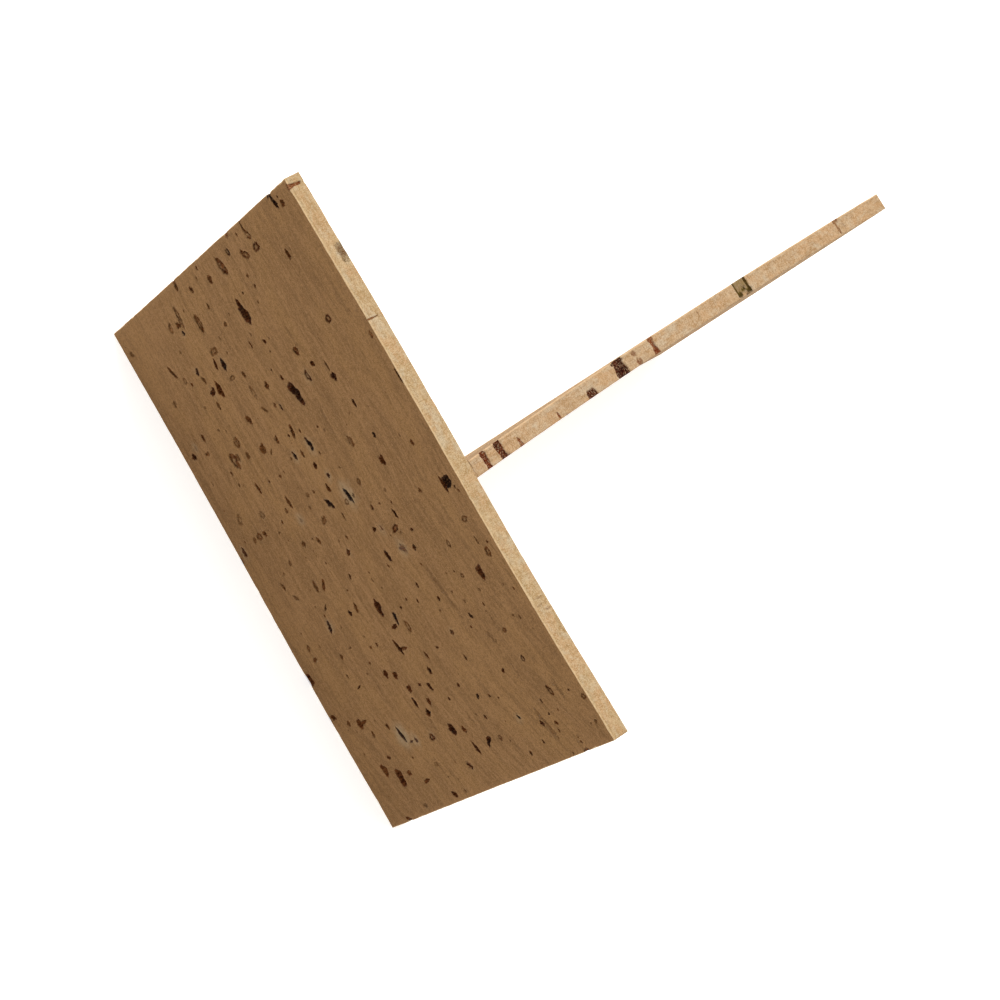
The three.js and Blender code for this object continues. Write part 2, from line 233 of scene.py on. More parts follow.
    (76.5, 4.9, 1, 0.5, 0, "L", 0.9, 0.6, 0), (90.05, 3.75, 0.5, 0.5, 0, "L", 0.3, 0.8, 0),
    (96.2, 1.75, 0.8, 0.8, 0, "L", 0.8, 0.55, 0), (98.3, 8.4, 0.6, 0.6, 0, "L", 0.6, 0.7, 0),
    (51.6, 11.7, 1.1, 0.8, -20, "L", 0.7, 0.7, 0), (66.6, 13.4, 0.8, 0.9, 0, "R", 0.45, 0.8, 0),
    (65.4, 14.9, 0.4, 0.4, 0, "L", 0.4, 0.8, 0), (72.2, 12.2, 0.8, 0.5, 0, "L", 0.6, 0.8, 0),
    (82.6, 10.5, 1.1, 1, 0, "R", 0.4, 0.85, 0.15), (89.9, 12.3, 0.9, 0.45, -5, "L", 0.25, 0.9, 0),
    (92.3, 12.3, 0.5, 0.6, 0, "L", 0.3, 0.9, 0), (94.05, 11.8, 0.7, 1.2, 20, "L", 0.5, 0.8, 0),
    (96.1, 18, 1, 0.5, -20, "L", 0.4, 0.85, 0), (83.05, 17.4, 0.8, 1, -20, "L", 0.3, 0.95, 0),
    (74.5, 18.9, 0.5, 0.6, 0, "L", 0.5, 0.75, 0), (56.3, 19.8, 0.7, 0.8, 0, "L", 0.4, 0.85, 0),
    (61.9, 22.6, 0.9, 0.4, -25, "L", 0.7, 0.65, 0), (68.05, 23.15, 0.9, 0.8, 20, "L", 0.35, 0.85, 0),
    (90.9, 20.6, 1, 0.6, -30, "L", 0.1, 1, 0.5), (97, 23.05, 0.9, 0.8, 0, "L", 0.35, 0.95, 0),
    (86.7, 22.9, 0.5, 0.6, 0, "L", 0.6, 0.6, 0), (85.8, 25, 0.8, 0.5, -40, "L", 0.5, 0.7, 0),
    (78.6, 25.3, 1, 0.6, 0, "L", 0.5, 0.8, 0.1), (64.5, 26.9, 1.1, 0.6, 0, "L", 0.35, 0.9, 0),
    (50.2, 27.3, 0.6, 0.7, 0, "L", 0.3, 0.8, 0), (66.8, 29.3, 0.8, 0.6, 0, "L", 0.5, 0.8, 0),
    (88.7, 29.5, 1.1, 0.6, -15, "L", 0.4, 0.9, 0), (92.8, 28.8, 1.1, 1, 0, "R", 0.5, 0.8, 0.1),
    (59.5, 31.9, 0.9, 0.5, 0, "L", 0.6, 0.7, 0), (65.7, 32.2, 0.8, 0.6, 0, "L", 0.5, 0.8, 0),
    (75, 31.4, 0.8, 0.9, 0, "L", 0.6, 0.6, 0.1), (82.1, 31.7, 0.9, 0.8, 0, "L", 0.4, 0.9, 0),
    (66.5, 35.05, 0.7, 0.7, 0, "L", 0.35, 0.9, 0), (83.5, 36.5, 0.9, 0.6, -25, "L", 0.3, 0.95, 0),
    (60.3, 38.7, 0.9, 0.5, 0, "L", 0.9, 0.5, 0), (52, 39.2, 0.9, 0.8, 0, "L", 0.7, 0.6, 0),
    (51.8, 42.1, 0.6, 0.4, 0, "L", 0.7, 0.6, 0), (57.9, 44.7, 1.1, 0.6, 5, "L", 0.4, 0.9, 0),
    (53.95, 49.6, 0.5, 0.5, 0, "L", 0.5, 0.7, 0), (59.7, 47.8, 0.5, 0.5, 0, "L", 0.8, 0.6, 0),
    (70.1, 48.2, 0.8, 0.7, -20, "L", 0.45, 0.8, 0), (70.05, 50.5, 0.6, 0.8, 0, "L", 0.6, 0.75, 0),
    (79.3, 42.5, 0.8, 0.9, 0, "L", 0.45, 0.85, 0), (72.3, 53.5, 0.8, 0.6, 0, "L", 0.7, 0.7, 0),
    (68.5, 56.8, 1.1, 0.4, 85, "L", 0.85, 0.5, 0), (73.8, 56.05, 0.9, 0.5, 85, "L", 0.9, 0.45, 0),
    (61.6, 59.05, 0.6, 0.5, 0, "L", 0.6, 0.7, 0), (59.5, 60.4, 0.6, 0.5, 0, "L", 0.9, 0.45, 0),
    (72.6, 62.6, 0.8, 0.6, 0, "L", 0.75, 0.6, 0), (75.2, 60.9, 1.9, 0.4, 74, "S", 0.5, 0.8, 0),
    (90.1, 57.1, 0.6, 0.5, 0, "L", 0.6, 0.7, 0), (87.6, 53, 1.3, 0.9, 0, "L", 0.3, 0.6, 0.5),
    (87.5, 54.6, 1.4, 0.5, 88, "L", 0.2, 0.65, 0.4), (95, 42, 1.7, 0.4, -48, "L", 0.15, 0.85, 0.1),
    (95.6, 41.5, 0.9, 0.4, 60, "L", 0.2, 0.8, 0), (88.3, 47.9, 1.2, 1.6, 0, "R", 0.35, 0.9, 0.1),
    (92.7, 51.3, 1, 1.1, 0, "R", 0.95, 0.5, 0), (93.6, 45.4, 0.8, 0.5, 0, "L", 0.9, 0.45, 0),
    (98.7, 47.4, 0.8, 0.7, 0, "L", 0.9, 0.45, 0), (98.5, 61.6, 1.1, 1.3, 0, "L", 0.95, 0.45, 0.2),
    (51.8, 64.5, 0.7, 0.6, 0, "L", 0.85, 0.55, 0), (67.9, 50.6, 0.4, 0.4, 0, "L", 0.8, 0.5, 0),
    (65.8, 66.05, 0.8, 0.5, 0, "L", 0.9, 0.45, 0),
]

# Soft darker streaks along the grain of the sanding face: u, v, length, width, degrees, strength.
SOLE_STREAKS = [
    (67.8, 20.7, 14.0, 1.1, -12, 0.62), (77.4, 15.4, 5.0, 0.9, -23, 0.6), (83.7, 14.2, 6.6, 0.8, -14, 0.55),
    (94.0, 14.3, 10.0, 0.7, -17, 0.85), (76.0, 12.2, 5.0, 0.8, -10, 0.5), (89.2, 6.2, 6.2, 1.0, -17, 0.6),
    (94.8, 25.6, 4.4, 0.6, -14, 0.5), (83.7, 34.7, 5.4, 0.7, -12, 0.5), (88.5, 33.6, 5.0, 0.8, -14, 0.5),
    (71.5, 7.6, 7.0, 0.8, -9, 0.45), (57.0, 8.3, 8.0, 0.9, -6, 0.45), (20.0, 22.6, 9.0, 0.9, 0, 0.5),
    (34.0, 26.1, 10.0, 0.8, 3, 0.5), (12.5, 41.6, 8.0, 0.9, 2, 0.45), (43.0, 62.0, 8.0, 0.8, 0, 0.45),
    (86.0, 45.5, 7.0, 0.8, -10, 0.5), (76.0, 55.0, 6.0, 0.8, -6, 0.45), (93.0, 50.5, 5.0, 0.7, -12, 0.5),
    (60.0, 47.0, 6.0, 0.8, -4, 0.4), (24.0, 69.0, 8.0, 0.8, 2, 0.45), (66.0, 70.0, 7.0, 0.7, -3, 0.45),
]

# A pore cut through by an edge: side (0 top, 1 far end, 2 bottom, 3 near end), its span along that side,
# its span through the thickness, its slant, its shape, tone, strength, olive stain and depth.
SOLE_CUTS = [
    (0, 1.04, 1.88, -0.3, 2.45, 0.02, "point", 0.72, 1.0, 0.0, 0.32),
    (0, 11.5, 16.2, 1.15, 3.6, 0.00, "stain", 0.30, 0.72, 0.25, 0.03),
    (0, 12.0, 13.9, 1.9, 3.6, 0.00, "stain", 0.16, 0.85, 0.10, 0.04),
    (0, 14.4, 15.9, 1.5, 2.3, 0.00, "stain", 0.35, 0.75, 0.80, 0.03),
    (0, 24.85, 25.25, -0.3, 2.1, 0.03, "point", 0.75, 0.75, 0.25, 0.16),
    (0, 35.3, 36.3, 0.2, 0.5, 0.0, "full", 0.6, 0.6, 0.0, 0.05),
    (0, 38.9, 40.9, 2.88, 3.3, 0.0, "full", 0.6, 0.75, 0.0, 0.12),
    (0, 75.0, 75.4, 0.6, 2.6, 0.0, "crack", 1.0, 0.30, 0.0, 0.02),
    (0, 76.2, 76.6, 0.3, 2.8, 0.0, "crack", 1.0, 0.32, 0.0, 0.02),
    (0, 77.2, 77.6, 1.4, 2.9, 0.0, "crack", 1.0, 0.30, 0.0, 0.02),
    (1, 8.0, 9.4, -0.3, 3.3, 0.10, "full", 0.4, 0.9, 0.0, 0.25),
    (1, 23.0, 23.5, 0.3, 2.6, -0.05, "crack", 0.7, 0.7, 0.1, 0.12),
    (1, 41.5, 43.8, 0.9, 3.3, 0.08, "point", 0.3, 0.9, 0.0, 0.25),
    (1, 68.4, 69.6, -0.3, 1.9, 0.05, "point", 0.2, 1.0, 0.0, 0.25),
    (2, 27.0, 28.2, 0.8, 3.3, 0.0, "point", 0.5, 0.9, 0.0, 0.20),
    (2, 46.0, 47.1, -0.3, 3.3, 0.12, "hour", 0.5, 0.9, 0.1, 0.22),
    (2, 69.0, 71.6, -0.3, 2.2, 0.05, "full", 0.3, 0.95, 0.0, 0.25),
    (2, 77.3, 78.6, -0.3, 1.4, 0.0, "point", 0.6, 0.8, 0.0, 0.15),
    (2, 90.4, 91.2, 1.2, 3.3, -0.06, "point", 0.6, 0.7, 0.0, 0.15),
    (3, 6.0, 7.2, -0.3, 2.5, 0.05, "full", 0.1, 1.0, 0.0, 0.28),
    (3, 17.8, 18.6, -0.3, 1.9, 0.0, "point", 0.6, 0.8, 0.1, 0.18),
    (3, 23.2, 24.2, -0.3, 3.3, -0.08, "hour", 0.6, 0.8, 0.0, 0.2),
    (3, 46.8, 48.0, -0.3, 2.9, 0.06, "full", 0.6, 0.8, 0.0, 0.2),
    (3, 62.0, 63.6, 1.3, 3.3, 0.0, "stain", 0.3, 0.6, 0.6, 0.06),
]
WEB_CUTS = [
    (0, 2.4, 3.42, -0.3, 3.3, 0.00, "full", 0.45, 1.0, 0.0, 0.28),
    (0, 5.4, 6.85, -0.3, 3.3, 0.01, "full", 0.30, 0.95, 0.05, 0.25),
    (0, 9.5, 10.4, 1.4, 3.3, 0.04, "point", 0.75, 0.85, 0.0, 0.15),
    (0, 18.5, 19.0, 1.5, 2.95, 0.03, "point", 0.65, 0.9, 0.0, 0.12),
    (0, 20.1, 20.4, 2.8, 3.3, 0.0, "full", 0.4, 0.9, 0.0, 0.1),
    (0, 25.5, 27.4, 1.5, 3.3, 0.0, "full", 0.28, 0.95, 0.05, 0.25),
    (0, 25.0, 25.7, 1.0, 1.25, 0.0, "full", 0.9, 0.5, 0.1, 0.06),
    (0, 32.55, 35.1, -0.3, 3.3, 0.0, "full", 0.14, 1.0, 0.0, 0.40),
    (0, 36.8, 38.1, 0.2, 1.40, -0.05, "stain", 0.80, 0.95, 0.0, 0.08),
    (0, 37.0, 38.5, 1.6, 3.3, 0.0, "stain", 0.75, 1.0, 0.0, 0.10),
    (0, 41.1, 42.6, -0.3, 3.3, 0.0, "hour", 0.70, 0.9, 0.0, 0.20),
    (0, 52.9, 53.15, 0.5, 1.6, 0.0, "crack", 0.8, 0.45, 0.1, 0.05),
    (0, 58.0, 58.3, -0.3, 0.4, 0.0, "full", 0.8, 0.6, 0.0, 0.08),
    (0, 62.15, 65.4, -0.3, 2.85, 0.0, "olive", 0.75, 0.60, 1.0, 0.06),
    (0, 62.2, 62.6, -0.3, 2.7, 0.0, "full", 0.25, 0.8, 0.9, 0.10),
    (0, 64.8, 65.4, -0.3, 2.75, 0.0, "full", 0.05, 1.1, 0.85, 0.18),
    (0, 62.2, 63.4, 1.7, 3.0, 0.0, "stain", 0.10, 1.4, 1.0, 0.12),
    (0, 63.0, 64.6, 1.3, 2.2, 0.0, "stain", 0.15, 1.3, 1.0, 0.12),
    (0, 64.2, 65.5, 1.7, 2.95, 0.0, "stain", 0.05, 1.4, 1.0, 0.12),
    (0, 88.1, 88.8, -0.3, 0.75, 0.0, "full", 0.85, 0.70, 0.25, 0.10),
    (0, 88.3, 88.8, 0.5, 2.7, 0.0, "crack", 0.85, 0.75, 0.25, 0.12),
    (0, 89.8, 90.1, 0.2, 2.6, 0.0, "crack", 0.95, 0.3, 0.0, 0.04),
    (1, 11.0, 12.6, -0.3, 3.3, 0.1, "full", 0.4, 0.9, 0.0, 0.25),
    (1, 31.0, 31.5, 0.2, 2.8, 0.0, "crack", 0.7, 0.7, 0.1, 0.12),
    (1, 48.7, 50.8, -0.3, 3.3, -0.1, "hour", 0.5, 0.9, 0.0, 0.22),
    (1, 64.0, 65.0, 1.0, 3.3, 0.0, "point", 0.6, 0.8, 0.0, 0.15),
    (2, 12.0, 13.4, -0.3, 3.3, 0.1, "full", 0.5, 0.9, 0.0, 0.25),
    (2, 30.5, 31.4, 0.6, 3.3, 0.0, "point", 0.6, 0.9, 0.0, 0.18),
    (2, 44.0, 46.1, -0.3, 3.3, 0.06, "full", 0.3, 0.95, 0.1, 0.28),
    (2, 60.3, 60.7, -0.3, 2.6, 0.0, "crack", 0.7, 0.7, 0.1, 0.12),
    (2, 74.0, 75.2, -0.3, 3.3, -0.1, "hour", 0.6, 0.85, 0.0, 0.2),
    (2, 87.5, 89.5, 0.9, 3.3, 0.05, "stain", 0.3, 0.6, 0.6, 0.06),
]


def pore(u, v, a, b, deg, kind, tone, strength, halo, radii=None, seed=0):
    r = np.random.default_rng(seed)
    ks = np.arange(2, 12)
    rough = {"L": 0.19, "R": 0.13, "S": 0.12, "G": 0.22}[kind] * (0.45 if radii else 1.0)
    size = math.sqrt(a * b)
    depth = {"L": 0.30 + 0.22 * size, "R": 0.22 + 0.10 * size, "S": 0.55 + 0.15 * a, "G": 0.06}[kind]
    return {
        "u": u, "v": v, "a": a / 2, "b": b / 2, "ang": math.radians(deg), "kind": kind, "tone": tone,
        "strength": strength, "halo": halo, "depth": min(depth * (0.15 + 0.85 * strength ** 2), 1.25),
        "power": 1.55 if kind in "LS" else 2.1,
        "amp": rough * r.uniform(0.3, 1.0, len(ks)) / np.sqrt(ks - 1) * r.choice([-1, 1], len(ks)),
        "phase": r.uniform(0, 2 * math.pi, len(ks)), "ks": ks, "seed": r.uniform(0, 100),
        "shift": r.uniform(-0.25, 0.25, 2), "radii": radii,
    }


def pore_radius(f, phi):
    """The pore's ragged outline: its radius at an angle round its middle."""
    if f["radii"]:
        t = np.mod(phi, 2 * math.pi) / (math.pi / 6)
        i = np.floor(t).astype(int) % 12
        r = np.array(f["radii"])
        base = r[i] + (r[(i + 1) % 12] - r[i]) * smooth(-0.15, 1.15, t - np.floor(t))
    else:
        c, s = np.abs(np.cos(phi)) / f["a"], np.abs(np.sin(phi)) / f["b"]
        base = (c ** f["power"] + s ** f["power"]) ** (-1 / f["power"])
    wob = 1 + sum(a * np.cos(k * phi + p) for a, k, p in zip(f["amp"], f["ks"], f["phase"]))
    return base * np.clip(wob, 0.5, 1.5)


def pore_place(f, u, v):
    """A point's distance out from the pore's middle, 1 on its outline."""
    x, y = u - f["u"], v - f["v"]
    c, s = math.cos(f["ang"]), math.sin(f["ang"])
    x, y = x * c + y * s, -x * s + y * c
    return np.hypot(x, y) / np.maximum(pore_radius(f, np.arctan2(y, x)), 1e-6)


def pore_points(f, spread=1.0):
    """The points that a pore's own shape needs on the face."""
    small = f["b"] < 0.35
    rings = (1.16, 1.0, 0.84, 0.62, 0.32) if small else (1.14, 1.02, 0.93, 0.84, 0.72, 0.56, 0.38, 0.2)
    gap = 0.13 if small else 0.17
    if f.get("soft"):
        rings, gap = (1.14, 0.9, 0.6, 0.3), 0.42
    out = [(0.0, 0.0)]
    for i, d in enumerate(rings):
        around = 2 * math.pi * math.sqrt((f["a"] ** 2 + f["b"] ** 2) / 2) * d
        n = max(7, int(around / (gap * spread)))
        t = (np.arange(n) + (i % 2) * 0.5) / n * 2 * math.pi
        phi = np.arctan2(f["b"] * np.sin(t), f["a"] * np.cos(t))
        r = pore_radius(f, phi) * d
        out += list(zip(r * np.cos(phi), r * np.sin(phi)))
    out = np.array(out)
    c, s = math.cos(f["ang"]), math.sin(f["ang"])
    return np.stack([f["u"] + out[:, 0] * c - out[:, 1] * s, f["v"] + out[:, 0] * s + out[:, 1] * c], 1)


def face_fields(pores, u, v, noise):
    """Depth, pore, tone and halo at each point of a face."""
    depth, mask, tone, halo = (np.zeros(len(u)) for _ in range(4))
    crumb = noise.fbm(u * 2.6, v * 2.6, 3.0)
    fine = noise(u * 6.5, v * 6.5, 9.0)
    for f in pores:
        reach = max(f["a"], f["b"]) * 1.6 + 1.4 * f["halo"] + 0.3
        near = np.flatnonzero((np.abs(u - f["u"]) < reach) & (np.abs(v - f["v"]) < reach))
        if not len(near):
            continue
        d = pore_place(f, u[near], v[near])
        c, g = crumb[near], fine[near]
        if f["kind"] == "R":
            ring = smooth(0.42, 0.70, d + 0.12 * g) * (1 - smooth(0.88, 1.06, d + 0.08 * c))
            gap = smooth(-0.6, 0.2, noise(d * 0 + f["seed"], np.arctan2(v[near] - f["v"], u[near] - f["u"]) * 1.7))
            inner = smooth(0.05, 0.45, noise(u[near] * 0.9 + f["seed"], v[near] * 3.4, 4.0) + 0.25 * g)
            dd = f["depth"] * (ring * (0.45 + 0.55 * gap) + 0.5 * inner * (1 - smooth(0.5, 0.8, d)))
            mm = ring * (0.5 + 0.5 * gap) + (0.30 + 0.55 * inner) * (1 - smooth(0.5, 0.85, d))
        elif f["kind"] == "G":
            dd = f["depth"] * (1 - smooth(0.3, 1.0, d)) * (1 + c)
            mm = 0.62 * (1 - smooth(0.35, 1.15, d + 0.3 * c))
        else:
            floor = 0.72 + 0.5 * c + 0.3 * g
            dd = f["depth"] * (1 - smooth(0.6, 1.0, d)) * np.clip(floor, 0.2, 1.4)
            mm = (1 - smooth(0.84, 1.08, d + 0.08 * g)) * np.clip(0.95 + 0.35 * c, 0.5, 1.0)
        mm = np.clip(mm * f["strength"], 0, 1)
        take = mm > mask[near]
        tone[near] = np.where(take, np.clip(f["tone"] + 0.35 * c, 0, 1), tone[near])
        mask[near] = np.maximum(mask[near], mm)
        depth[near] = np.maximum(depth[near], dd)
        if f["halo"] > 0:
            x, y = u[near] - f["u"] - f["shift"][0], v[near] - f["v"] - f["shift"][1]
            spread = np.hypot(x, y * 1.15) / (max(f["a"], f["b"]) + 1.1 * f["halo"])
            halo[near] = np.maximum(halo[near], f["halo"] * (1 - smooth(0.35, 1.15, spread + 0.3 * c)))
    return depth, mask, tone, halo


def cut_fields(cuts, side, t, w, noise):
    """Depth, pore, tone and olive at points of the edge band."""
    depth, mask, tone, olive = (np.zeros(len(t)) for _ in range(4))
    streak = noise.fbm(t * 5.5, w * 1.1, side * 7.0)
    crumb = noise.fbm(t * 3.2, w * 3.2, 40.0 + side)
    for s, t0, t1, w0, w1, slant, shape, tn, strength, ol, dp in cuts:
        mid, half = (t0 + t1) / 2, (t1 - t0) / 2
        near = np.flatnonzero((side == s) & (np.abs(t - mid) < half + 1.0))
        if not len(near):
            continue
        ww, c, st = w[near], crumb[near], streak[near]
        along = np.clip((ww - w0) / (w1 - w0), 0, 1)
        x = t[near] - mid - slant * (ww - 1.5) * 2
        hw = np.full(len(near), half)
        if shape == "point":
            free_low = w0 > -0.2
            k = along if free_low else 1 - along
            hw = half * (0.25 + 0.75 * np.sqrt(np.clip(k, 0, 1)))
        elif shape == "hour":
            hw = half * (0.45 + 0.55 * np.abs(2 * along - 1))
        elif shape == "crack":
            hw = half * (0.55 + 0.45 * np.sin(math.pi * along))
        hw = hw * (1 + 0.22 * noise(ww * 2.3, mid, 1.0)) + 1e-3
        if shape in ("stain", "olive"):
            d = np.hypot(x / hw, (ww - (w0 + w1) / 2) / ((w1 - w0) / 2 + 1e-3)) + 0.45 * c
            m = (1 - smooth(0.35, 1.15, d)) * np.clip(0.62 + 0.45 * c, 0.1, 1)
            if shape == "olive":
                m = (1 - smooth(0.8, 1.05, np.abs(x) / hw + 0.12 * c)) * (1 - smooth(w1 - 0.7, w1, ww + 0.3 * c))
                m = m * np.clip(0.8 + 0.5 * c, 0.3, 1)
        else:
            ends = smooth(w0 - 0.02, w0 + 0.22, ww) if w0 > -0.2 else 1.0
            ends = ends * ((1 - smooth(w1 - 0.22, w1 + 0.02, ww)) if w1 < 3.2 else 1.0)
            m = (1 - smooth(0.78, 1.08, np.abs(x) / hw + 0.1 * c)) * ends
            m = m * np.clip(0.9 + 0.75 * st * (1 - 0.5 * (strength >= 1)), 0.25, 1.0)
        m = np.clip(m * strength, 0, 1)
        take = m > mask[near]
        tone[near] = np.where(take, np.clip(tn + 0.4 * c, 0, 1), tone[near])
        olive[near] = np.where(take, ol, olive[near])
        mask[near] = np.maximum(mask[near], m)
        depth[near] = np.maximum(depth[near], dp * m)
    return depth, mask, tone, olive


def wild_pores(count, length, width, seed, keep_off=()):
    """Pores scattered over a face in loose bands along the grain, for faces whose own pores aren't known."""
    r = np.random.default_rng(seed)
    band = Noise(seed + 5)
    out, tries = [], 0
    while len(out) < count and tries < 20000:
        tries += 1
        u, v = r.uniform(0.3, length - 0.3), r.uniform(2.2 if keep_off else 0.3, width - 0.3)
        if r.uniform(-0.9, 0.75) > band(u / 34, v / 9):
            continue
        big = r.random()
        a = 2.4 + 3.2 * r.random() if big < 0.07 else (1.3 + 1.4 * r.random() if big < 0.4 else 0.55 + 0.75 * r.random())
        b = a * r.uniform(0.34, 0.72) if a > 1.2 else a * r.uniform(0.6, 1.0)
        if any(abs(u - o[0]) < (a + o[2]) * 0.55 and abs(v - o[1]) < (b + o[3]) * 0.6 for o in out):
            continue
        if any(abs(u - o[0]) < (a + o[2]) * 0.6 and abs(v - o[1]) < (b + o[3]) * 0.7 for o in keep_off):
            continue
        kind = r.choice(["L", "R", "S", "G"], p=[0.68, 0.2, 0.08, 0.04])
        if kind == "S":
            b = min(b, 0.5)
        dark = r.random()
        tone = r.uniform(0, 0.3) if dark < 0.3 else r.uniform(0.4, 1.0)
        out.append((u, v, a, b, r.normal(-5, 12), kind, tone, r.uniform(0.55, 1.0) if a > 1.2 else r.uniform(0.45, 0.9),
                    r.uniform(0.2, 0.8) if dark < 0.12 else 0.0))
    return out


def specks(count, length, width, seed, others):
    """The smallest pores, under a millimetre, which sit between the others."""
    r = np.random.default_rng(seed)
    out = []
    while len(out) < count:
        u, v = r.uniform(0.4, length - 0.4), r.uniform(0.4, width - 0.4)
        a = 0.28 + 0.42 * r.random() ** 2
        if any(abs(u - o[0]) < (a + o[2]) * 0.6 and abs(v - o[1]) < (a + o[3]) * 0.7 for o in others):
            continue
        out.append((u, v, a * r.uniform(1, 1.5), a * r.uniform(0.7, 1.0), r.normal(-5, 20), "L", r.uniform(0.4, 1.0),
                    r.uniform(0.25, 0.7), 0.0))
    return out


def through(front, seed):
    """The same pores where they come out of the sheet's other face, a little shifted and changed."""
    r = np.random.default_rng(seed)
    out = []
    for u, v, a, b, deg, kind, tone, strength, halo, *_ in front:
        if a < 0.9 and r.random() < 0.6:
            continue
        out.append((u + r.normal(0, 0.35), v + r.normal(0, 0.3), a * r.uniform(0.6, 1.3), b * r.uniform(0.65, 1.25),
                    deg + r.normal(0, 9), r.choice([kind, "L", "R"], p=[0.6, 0.25, 0.15]),
                    float(np.clip(tone + r.normal(0, 0.2), 0, 1)), float(np.clip(strength * r.uniform(0.7, 1.15), 0.3, 1)),
                    halo * 0.6))
    return out


# ---------------------------------------------------------------- one sheet of cork
CORNER = 0.16


def outline(length, width, cuts, dense, step):
    """Columns round the sheet: base point, outward normal, side and place along it."""
    r = np.random.default_rng(dense)
    cols = []
    runs = [(0, length, (0, -1), lambda t: (t, 0.0), 1), (1, width, (1, 0), lambda t: (length, t), 1),
            (2, length, (0, 1), lambda t: (t, width), -1), (3, width, (-1, 0), lambda t: (0.0, t), -1)]
    corners = {0: (length - CORNER, CORNER, -90), 1: (length - CORNER, width - CORNER, 0),
               2: (CORNER, width - CORNER, 90), 3: (CORNER, CORNER, 180)}
    for side, reach, normal, at, sense in runs:
        t = list(np.arange(CORNER, reach - CORNER + 1e-6, step))
        t += [reach - CORNER]
        for c in cuts:
            if c[0] == side:
                spread = abs(c[5]) * 3
                t += list(np.arange(c[1] - 0.25 - spread, c[2] + 0.25 + spread, 0.1))
        t = np.array(sorted(x for x in t if CORNER <= x <= reach - CORNER))
        keep = [t[0]]
        for x in t[1:]:
            if x - keep[-1] > 0.075:
                keep.append(x)
        if reach - CORNER - keep[-1] > 1e-6:
            keep[-1] = reach - CORNER
        for x in (keep if sense > 0 else keep[::-1]):
            cols.append((*at(x), *normal, side, x))
        cu, cv, start = corners[side]
        for k in (1, 2, 3):
            a = math.radians(start + 90 * k / 4)
            n = (math.cos(a), math.sin(a))
            cols.append((cu + CORNER * n[0], cv + CORNER * n[1], *n, -1, 0.0))
    return np.array(cols)


